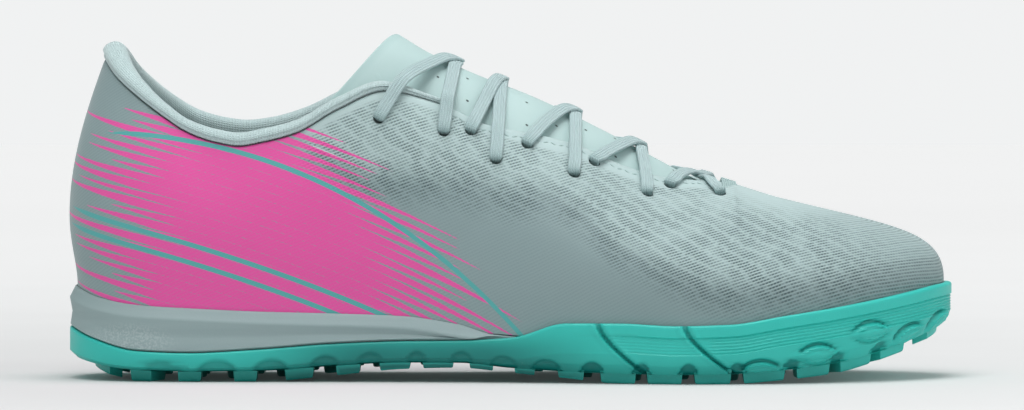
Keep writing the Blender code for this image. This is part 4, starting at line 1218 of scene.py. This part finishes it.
def soft_knit_finish(name, colour, fleck_and_shade):
    """Soft single knit: fine wales of small loops with painted shade between them, and flecks where
    two yarns are mixed.
    """
    soft = Finish(name, 0.88, Sheen_Weight=0.35, Sheen_Roughness=0.45)
    run, round_mm, _ = soft.parts(soft.laid())
    place = soft.place()
    wale = soft.maths("SINE", run * (2 * math.pi / 0.9)) * 0.5 + 0.5
    loop = soft.maths("SINE", round_mm * (2 * math.pi / 0.75) + wale * 1.6) * 0.5 + 0.5
    cloud = soft.noise(place, 60.0, 3.0)
    speck = soft.step(soft.noise(place, 1500.0, 2.0), 0.50, 0.66)
    # The darker colour gives a mottle, the flecks, and painted shade between the loops.
    shade = soft.mix(colour, fleck_and_shade, cloud * 0.25 + speck * 0.28 + (1 - wale * loop) * 0.10)
    return soft.coat(shade, 0.82 + cloud * 0.1, wale * loop * 0.7 + cloud * 0.5, 0.22 * MM)


def smooth_line(points, steps, closed=False):
    """A smooth curve through points, in this many steps from each to the next."""
    points, fine = np.array(points), []
    count = len(points)
    for i in range(count if closed else count - 1):
        near = [i + k if not closed else (i + k) % count for k in (-1, 0, 1, 2)]
        a, b, c, d = points[np.clip(near, 0, count - 1)]
        for t in np.arange(steps) / steps:
            bend = (2 * a - 5 * b + 4 * c - d) * t**2 + (3 * b - a - 3 * c + d) * t**3
            fine.append(0.5 * (2 * b + (c - a) * t + bend))
    return np.array(fine if closed else fine + [points[-1]])


def collar_section(column):
    """The roll's profile as heights above the seam and insets from the upper's face."""
    thin = 1 - 0.45 * float(fade(column.station, COLLAR_END - COLLAR_TAPER, COLLAR_END))
    thin *= 1 + HEEL_PADDING * (1 - float(fade(column.station, 0, HEEL_STATION)))
    inside = UPPER_WALL + COLLAR_PLAY
    profile = []
    for roll in COLLAR_ROLL:
        inset = roll.inset * ROLL_HEIGHT * thin
        if roll.inset > 0 and roll.up <= 0.1:
            inset = max(inset, inside + 0.6 * MM)
        profile.append((roll.up * ROLL_HEIGHT * (thin if roll.up > 0.1 else 1), inset))
    head = list(smooth_line(profile, 5, closed=True)[:5 * (len(profile) - 1) + 1])
    tail = [(up * ROLL_HEIGHT, inside) for up in (-3.0, -1.5, 0.06)]
    section = []
    for up, inset in head + tail:
        here, outward = below_seam(column, -up)
        section.append(column.place(*(here - outward * inset)))
    return section


outer_side = [column for column in columns[:half] if column.station < COLLAR_END]
inner_side = [column for column in columns[half:][::-1] if column.station < COLLAR_END]
columns = outer_side[::-1] + inner_side
sections = np.array([collar_section(column) for column in columns])
count = sections.shape[1]
run = lengths_of(sections.mean(axis=1))
around = np.array([lengths_of(section) for section in sections])
place = np.zeros(sections.shape)
place[:, :, 0], place[:, :, 1] = run[:, None] * 1000, around * 1000
faces = grid_faces(len(sections), count, across=True)
faces += [tuple(range(count)), tuple(len(sections) * count - 1 - i for i in range(count))]
collar = make_piece(
    "collar_padded_roll",
    sections.reshape(-1, 3),
    faces,
    [soft_knit_finish("collar_knit", COLLAR_SOFT, COLLAR_FLECK_AND_SHADE)],
    laid=place.reshape(-1, 3),
)
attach(collar, "root")
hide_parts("collar")

# Tongue. A thin curved sheet of smooth synthetic over soft backing, with rows of pinholes. It
# is sewn in under the throat's front end; its top edge sweeps back round the ankle.
TONGUE_TOP = 0.371
TONGUE_SWEEP = 0.082
TONGUE_FRONT = 0.785
TONGUE_WALL = 2.0 * MM
TONGUE_UNDER = 0.6 * MM
TONGUE_TUCK = 30 * MM
TONGUE_MINT = (0.475, 0.63, 0.62)
TONGUE_SHADE = (0.36, 0.52, 0.51)
HOLE_ROWS, HOLE_PITCH = 9.5, 11.0  # of the pinholes, along and across, in mm


def tongue_line(column):
    """The tongue's outer face in a column, from the ridge down inside the upper."""
    station = column.station
    roll = ROLL_HEIGHT * (1.12 - 0.3 * fade(station, COLLAR_END - 0.5 * COLLAR_TAPER, COLLAR_END))
    inside_collar = roll + SEAT_GAP + TONGUE_UNDER
    inside_upper = UPPER_WALL + TONGUE_UNDER * (1 + fade(station, 0.64, 0.72))
    under = blend(inside_collar, inside_upper, fade(station, 0.40, 0.46))
    covered = fade(station, 0.63, 0.745)
    ridge = np.array([0, upper_z(along(RIDGE, "height", station)) - covered * under * 1.06])
    hidden = []
    for depth in np.linspace(0, TONGUE_TUCK, 16):
        here, outward = below_seam(column, depth)
        hidden.append(here - outward * under)
    edge = hidden[0]
    rising = unit(edge - hidden[1])
    span = np.hypot(*(edge - ridge))
    if edge[0] < 2 * MM:
        return np.array([ridge] + [point for point in hidden if point[0] > 2 * MM])
    over = bezier([ridge, ridge + (0.42 * span, 0), edge + rising * 0.34 * span, edge], 17)
    return np.vstack([over, hidden[1:]])


def tongue_point(side, station, share):
    """A point on the tongue's face: share 0 on the ridge, 1 at its edge; and how far round."""
    column = Column(side, station)
    line = tongue_line(column)
    lengths = lengths_of(line)
    place = share * along(RIDGE, "tongue", station) * BALL_WIDTH
    return column.place(*at_length(line, lengths, place)), place


def tongue_finish():
    """Smooth matt sheet with pinholes in staggered rows and a slightly pressed top edge, which
    carries painted shade.
    """
    sheet = Finish("smooth_sheet", 0.5)
    place = sheet.place()
    run, round_mm, edge = sheet.parts(sheet.laid())
    cloud = sheet.noise(place, 60.0, 3.0)
    row = run / HOLE_ROWS
    shift = sheet.maths("FRACT", sheet.maths("FLOOR", row) * 0.5)
    off_run = sheet.maths("FRACT", row) - 0.5
    off_round = sheet.maths("FRACT", round_mm / HOLE_PITCH + shift) - 0.5
    away = sheet.maths("SQRT", (off_run * HOLE_ROWS) ** 2 + (off_round * HOLE_PITCH) ** 2)
    hole = (1 - sheet.step(away, 0.34, 0.52)) * sheet.step(run, 116.0, 117.0)
    rim = (1 - sheet.step(away, 0.6, 1.1)) * (1 - hole)
    grain = sheet.noise(place, 1500.0, 2.0)
    # Painted shade along the top edge; the cloud and grain add a random mottle.
    colour = sheet.mix(TONGUE_MINT, TONGUE_SHADE, cloud * 0.3 + grain * 0.08 + edge * 0.5)
    # Painted shade in the pinholes, which are drawn by colour and bump rather than cut.
    colour = sheet.mix(colour, (0.03, 0.055, 0.055), hole * 0.9)
    height = 0.8 - hole * 0.8 + rim * 0.15 + grain * 0.06 + cloud * 0.25 - edge * 0.4
    return sheet.coat(colour, 0.46 + grain * 0.12, height, 0.25 * MM)


LONG_ROWS, ACROSS = 90, 34
shares = np.linspace(-1, 1, 2 * ACROSS + 1)
points, laid = [], []
for row in range(LONG_ROWS + 1):
    run = row / LONG_ROWS
    for share in shares:
        top = TONGUE_TOP - TONGUE_SWEEP * abs(share) ** 1.4
        station = blend(top, TONGUE_FRONT, run)
        point, round_off = tongue_point(OUTER if share < 0 else INNER, station, abs(share))
        points.append(point)
        # How much painted shade the top edge takes, over its first rows.
        rim = 1 - fade(run * 120, 0.8, 2.2)
        laid.append((station * SHOE_LENGTH * 1000, np.sign(share) * round_off * 1000, rim))
tongue = make_piece(
    "tongue_sheet",
    points,
    grid_faces(LONG_ROWS + 1, len(shares)),
    [tongue_finish(), soft_knit_finish("tongue_backing", LINING, LINING_SHADE)],
    laid=laid,
)
thicken(tongue, TONGUE_WALL)
round_edge = tongue.modifiers.new("edge", "BEVEL")
round_edge.width, round_edge.segments, round_edge.angle_limit = 0.6 * MM, 3, math.radians(60)
apply_modifiers(tongue)
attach(tongue, "root")
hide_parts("tongue")

# Throat stitches. A zigzag of thread holds the stay round the throat's edge, and a bar of close
# stitches takes the strain where the throat ends over the vamp. Thread of the lace's colour.
STITCH_LENGTH, STITCH_GAP, STITCH_SWING = 2.2 * MM, 0.35 * MM, 0.55 * MM
THREAD_RADIUS = 0.34 * MM
BAR_START, BAR_STEP, BAR_STITCHES = 0.7385, 0.0024, 7
BAR_REACH, BAR_RADIUS = 7.0 * MM, 0.40 * MM
STITCHED = (0.432, 0.735)
THREAD = (0.42, 0.56, 0.555)


def add_thread(points, faces, path, normals, radius):
    """A length of thread along a path, thinner at both ends."""
    first, last = len(points), len(path) - 1
    for i, (centre, tangent, normal) in enumerate(zip(path, np.gradient(path, axis=0), normals)):
        side = unit(np.cross(tangent, normal))
        girth = radius * (0.5 if i in (0, last) else 1)
        for turn in np.linspace(0, 2 * math.pi, 6, endpoint=False):
            points.append(centre + (side * math.cos(turn) + normal * math.sin(turn)) * girth)
    faces += [tuple(first + i for i in face) for face in grid_faces(last + 1, 6, across=True)]
    end = first + 6 * last
    faces += [tuple(range(first, first + 6)), tuple(range(end + 5, end - 1, -1))]


def thread_finish():
    thread = Finish("stitch_thread", 0.6)
    twist = thread.noise(thread.place(), 2200.0, 1.0)
    return thread.coat(thread.mix(THREAD, (0.20, 0.30, 0.30), twist * 0.45), height=twist)


points, faces = [], []
shares = np.linspace(0, 1, 7)[:, None]
for side in (OUTER, INNER):
    row = [upper_place(side, station, STITCH_DEPTH) for station in np.linspace(*STITCHED, 160)]
    line, normals = (np.array(part) for part in zip(*row))
    lengths = lengths_of(line)
    starts = np.arange(0, lengths[-1] - STITCH_LENGTH, STITCH_LENGTH + STITCH_GAP)
    for number, start in enumerate(starts):
        at = start + STITCH_LENGTH * shares[:, 0]
        path = at_length(line, lengths, at)
        normal = normals[int(np.searchsorted(lengths, start + STITCH_LENGTH / 2))]
        down = unit(np.cross(path[-1] - path[0], normal))
        swing = (shares * 2 - 1) * STITCH_SWING * (1 if number % 2 else -1)
        bow = np.sin(math.pi * shares) * 1.1 - 1.1
        path = path + down * swing + normal * THREAD_RADIUS * bow
        add_thread(points, faces, path, [normal] * 7, THREAD_RADIUS)
for number in range(BAR_STITCHES):
    station = BAR_START + number * BAR_STEP
    half = {}
    for side in (OUTER, INNER):
        half[side] = [upper_place(side, station, BAR_REACH * i / 4) for i in (4, 3, 2, 1, 0)]
    crown = np.array([x_at(station), Column(OUTER, station).pole[1], 0])
    crown[2] = upper_z(along(RIDGE, "height", station)) + 0.2 * MM
    whole = half[OUTER][:4] + [(crown, np.array([0.2, 0, 0.98]))] + half[INNER][:4][::-1]
    path, normals = (np.array(part) for part in zip(*whole))
    path = path + normals * 0.3 * MM
    path[0] -= normals[0] * 0.6 * MM
    path[-1] -= normals[-1] * 0.6 * MM
    add_thread(points, faces, path, normals, BAR_RADIUS)
stitches = make_piece("throat_stitches", points, faces, [thread_finish()], weld=False)
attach(stitches, "root")

# Lace. One flat woven cord with raised ribs, from the top eyelet on one side to the top eyelet
# on the other: five crossings over the tongue, each end diving into its eyelet to stop in the wall.
LACE_WIDTH = 4.3 * MM
LACE_THICKNESS = 1.3 * MM
LACE_CLEAR = 0.7 * MM
LACE_OVER = 0.8 * LACE_THICKNESS
ROLL_CLEAR = 0.4 * MM
LACE_RIBS = 5
LACE_BEND, LACE_SHADED = 1.1 * MM, 8 * MM
LACE_DIVE = ((0.35, 0.0), (0.75, 0.25), (1.0, 0.6), (1.0, 1.0))  # quarter turns, and how sunk
LACE_PALE = (0.45, 0.585, 0.595)
LACE_SHADE = (0.13, 0.24, 0.24)
Crossing = namedtuple("Crossing", "upper lower station")
CROSSINGS = (
    Crossing("upper_1", "lower_1", 0.436),
    Crossing("upper_2", "lower_2", 0.487),
    Crossing("upper_3", "lower_3", 0.570),
    Crossing("upper_4", "lower_4", 0.643),
    Crossing("upper_5", "lower_5", 0.711),
)
EYELET_NAMED = {eyelet.name: eyelet for eyelet in EYELETS}


def taut(points):
    """The tight line over a profile, as (radius, height) from the ridge outwards."""
    line = []
    for point in sorted(map(tuple, points)):
        while len(line) > 1:
            (ax, az), (bx, bz) = line[-2], line[-1]
            if (bx - ax) * (point[1] - az) - (bz - az) * (point[0] - ax) < 0:
                break
            line.pop()
        line.append(point)
    return np.array(line)


def lace_line(station, side, reach):
    """The line a lace is pulled along in a column, over tongue, roll or throat to its eyelet."""
    column = Column(side, station)
    points = list(tongue_line(column)[:17])
    if station < COLLAR_END + 0.01:
        for roll in COLLAR_ROLL[:6]:
            here, outward = below_seam(column, -roll.up * ROLL_HEIGHT - ROLL_CLEAR)
            points.append(here - outward * (roll.inset * ROLL_HEIGHT - ROLL_CLEAR))
    for depth in np.linspace(0, reach, 6):
        points.append(below_seam(column, depth)[0])
    line = taut(points)
    return column, line[: int(np.argmax(line[:, 0])) + 1]


def lace_half(side, eyelet, crossing, count):
    """Points and normals of half a bar, from its eyelet up to the ridge."""
    path, normals = [], []
    for share in np.linspace(0, 1, count):
        station = blend(eyelet.station, crossing.station, share)
        column, line = lace_line(station, side, eyelet.depth)
        lengths = lengths_of(line)
        here, down = along_line(line, lengths, (1 - share) * lengths[-1], 1.5 * MM)
        outward = np.array([-down[1], down[0]]) if share < 1 else np.array([0, 1])
        ahead, behind = (along(RIDGE, "height", station + step) for step in (0.02, -0.02))
        lean = (behind - ahead) * UPPER_HEIGHT / (0.04 * SHOE_LENGTH)
        x, y = column.out * outward[0]
        normal = np.array([x + lean * outward[1], y, outward[1]])
        path.append(column.place(*here))
        normals.append(unit(normal))
    return path, normals


def lace_bar(side, crossing, raised):
    """A bar from its high eyelet on this side, over the ridge, to its low one on the other."""
    first, first_normals = lace_half(side, EYELET_NAMED[crossing.upper], crossing, 15)
    second, second_normals = lace_half(-side, EYELET_NAMED[crossing.lower], crossing, 15)
    path = np.array(first + second[::-1][1:])
    normals = np.array(first_normals + second_normals[::-1][1:])
    shares = np.linspace(-1, 1, len(path))
    lift = LACE_THICKNESS / 2 + LACE_CLEAR * (0.35 + 0.65 * (1 - shares**4))
    lift = lift + raised * (1 - shares**2) ** 2
    return path + normals * lift[:, None], normals


def lace_stretch(side, crossing, raised):
    """One bar with its two dives: each end turns down into its eyelet and stops in the wall."""
    path, normals = lace_bar(side, crossing, raised)
    dives = []
    for tip, after, name, at in (
        (path[0], path[1], crossing.upper, side), (path[-1], path[-2], crossing.lower, -side),
    ):
        eyelet = EYELET_NAMED[name]
        hole, outward = upper_place(at, eyelet.station, eyelet.depth)
        run = unit(tip - after)
        run = unit(run - outward * (run @ outward))
        dive = []
        for turn, sink in LACE_DIVE:
            angle = turn * math.pi / 2
            stand = LACE_BEND * math.cos(angle) + LACE_THICKNESS * 0.35
            stand -= sink * (UPPER_WALL + 0.2 * MM)
            point = hole - run * (LACE_BEND * (1 - math.sin(angle))) + outward * stand
            facing = outward * math.cos(angle) + run * math.sin(angle)
            dive.append((point, facing, 0.25 + 0.75 * sink if turn > 0.5 else 0.1))
        dives.append(dive)
    open_part = [(point, facing, 0.0) for point, facing in zip(path[2:-2], normals[2:-2])]
    return [np.array(part) for part in zip(*dives[0][::-1], *open_part, *dives[1])]


def lace_profile_points():
    """Half widths and heights round the cord: five ribs on each flat side, rounded edges."""
    top = []
    count = 6 * LACE_RIBS
    for i in range(count + 1):
        across = i / count * 2 - 1
        rib = 0.5 - 0.5 * math.cos(2 * math.pi * LACE_RIBS * i / count)
        body = (1 - abs(across) ** 5) ** 0.5
        top.append((across, body * (0.80 + 0.20 * rib)))
    return top + [(across, -height) for across, height in top[::-1][1:-1]]


def lace_mesh(stretches):
    """All stretches of the cord as one mesh with its ribs, and where each point lies on it:
    along it in mm, across it from -1 to 1, and how dark its painted shade is where it is sunk
    or near an end."""
    points, faces, laid = [], [], []
    profile = lace_profile_points()
    count = len(profile)
    for path, normals, deep in stretches:
        path, normals, deep = (smooth_line(part, 4) for part in (path, normals, deep[:, None]))
        tangents = np.gradient(path, axis=0)
        lengths = lengths_of(path)
        start = len(points)
        rows = zip(path, tangents, normals, deep[:, 0], lengths)
        for here, tangent, normal, sunk, length in rows:
            tangent = unit(tangent)
            normal = unit(normal - tangent * (normal @ tangent))
            side = np.cross(tangent, normal)
            wide = LACE_WIDTH / 2 * (1 - 0.26 * min(max(sunk * 1.6, 0), 1))
            thick = LACE_THICKNESS / 2 * (1 + 0.1 * sunk)
            # Painted shade that deepens towards each end, where the cord goes into its eyelet.
            near = 0.3 * (1 - min(length, lengths[-1] - length) / LACE_SHADED)
            for across, height in profile:
                points.append(here + side * across * wide + normal * height * thick)
                laid.append((length * 1000, across, max(sunk, near)))
        tube = grid_faces(len(path), count, across=True)
        tube += [tuple(range(count)), tuple(len(path) * count - 1 - i for i in range(count))]
        faces += [tuple(start + i for i in face) for face in tube]
    return points, faces, laid


def lace_finish():
    """Flat woven cord: lengthwise ribs of fine slanting stitches, with painted shade between the
    ribs and stitches and where it dives in.
    """
    cord = Finish("woven_cord", 0.72, Sheen_Weight=0.25, Sheen_Roughness=0.4)
    place = cord.place()
    run, across, sunk = cord.parts(cord.laid())
    rib = cord.maths("COSINE", across * (math.pi * LACE_RIBS)) * 0.5 + 0.5
    stitch = cord.maths("SINE", run * (2 * math.pi / 0.62) + rib * 2.4) * 0.5 + 0.5
    mesh = cord.maths("SINE", across * 17.0) * cord.maths("SINE", run * 7.5) * 0.5 + 0.5
    cloud = cord.noise(place, 160.0, 2.0)
    # Painted shade between the ribs and the stitches, with a random mottle.
    colour = cord.mix(LACE_PALE, LACE_SHADE, (1 - stitch) * 0.10 + (1 - rib) * 0.10 + cloud * 0.10)
    # Painted shade where the cord is sunk into its eyelet or near an end.
    colour = cord.mix(colour, LACE_SHADE, cord.step(sunk, 0.0, 0.42) * 0.85)
    return cord.coat(colour, 0.7 + cloud * 0.1, stitch * 0.5 + rib * 0.5 + mesh * 0.15, 0.16 * MM)


stretches = []
for crossing in CROSSINGS:
    stretches.append(lace_stretch(INNER, crossing, 0))
    stretches.append(lace_stretch(OUTER, crossing, LACE_OVER))
points, faces, laid = lace_mesh(stretches)
lace = make_piece("lace_flat_cord", points, faces, [lace_finish()], laid=laid, weld=False, sharp=70)
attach(lace, "root")
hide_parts("lace_1", "lace_2", "lace_3", "lace_4", "lace_5")

# Studio. A wide pale floor that glows like the room further off, a broad soft lamp high in front,
# one overhead and one at the toe, and a room brightest at eye level, as for a catalogue picture.
GLOW = (  # how far the floor itself glows, by its distance from the shoe in metres
    (0.1, 0.02), (0.26, 0.08), (0.45, 0.17), (0.67, 0.26), (0.95, 0.35), (1.32, 0.44), (1.8, 0.51),
    (2.5, 0.55), (3.5, 0.585), (6.0, 0.60), (14.0, 0.60),
)
work = bmesh.new()
bmesh.ops.create_grid(work, x_segments=2, y_segments=2, size=14.0)
floor = object_of(work, "floor")
paper = Finish("pale_paper", 0.9, Emission_Strength=1.0)
x, y, _ = paper.parts(paper.place())
glow = paper.curve(paper.maths("SQRT", x * x + y * y), GLOW)
paper.feed(paper.shader.inputs["Emission Color"], paper.mix((0, 0, 0), (1.0, 1.0, 1.0), glow))
fibre = paper.noise(paper.place(), 9.0, 2.0)
floor.data.materials.append(paper.coat(paper.mix((0.60, 0.61, 0.61), (0.64, 0.65, 0.65), fibre)))

ROOM = (  # how bright the room is, by the sine of the height looked at
    (-0.2, 0.80), (-0.08, 0.89), (0.08, 0.89), (0.2, 0.36), (0.6, 0.30), (1.0, 0.60),
)
Lamp = namedtuple("Lamp", "name place power size")
LAMPS = (
    Lamp("key", (-0.15, -0.75, 1.35), 9.0, 0.9),
    Lamp("overhead", (0.15, 0.05, 1.6), 12.0, 0.8),
    Lamp("toe_side", (1.3, -0.5, 0.9), 3.0, 0.7),
)
for lamp in LAMPS:
    light = bpy.data.lights.new(lamp.name, "AREA")
    light.energy, light.size = lamp.power, lamp.size
    obj = add_object(lamp.name, light)
    obj.location = lamp.place
    aim = LOOK_AT - Vector(lamp.place)
    obj.rotation_euler = aim.to_track_quat("-Z", "Y").to_euler()
world = bpy.data.worlds.new("room")
world.use_nodes = True
room = Nodes(world.node_tree)
_, _, height = room.parts(room.place("Generated"))
level = room.curve(height, ROOM)
backdrop = world.node_tree.nodes["Background"]
room.feed(backdrop.inputs["Color"], room.mix((0, 0, 0), (0.983, 0.995, 0.998), level))
scene.world = world
scene.view_settings.view_transform = "Standard"
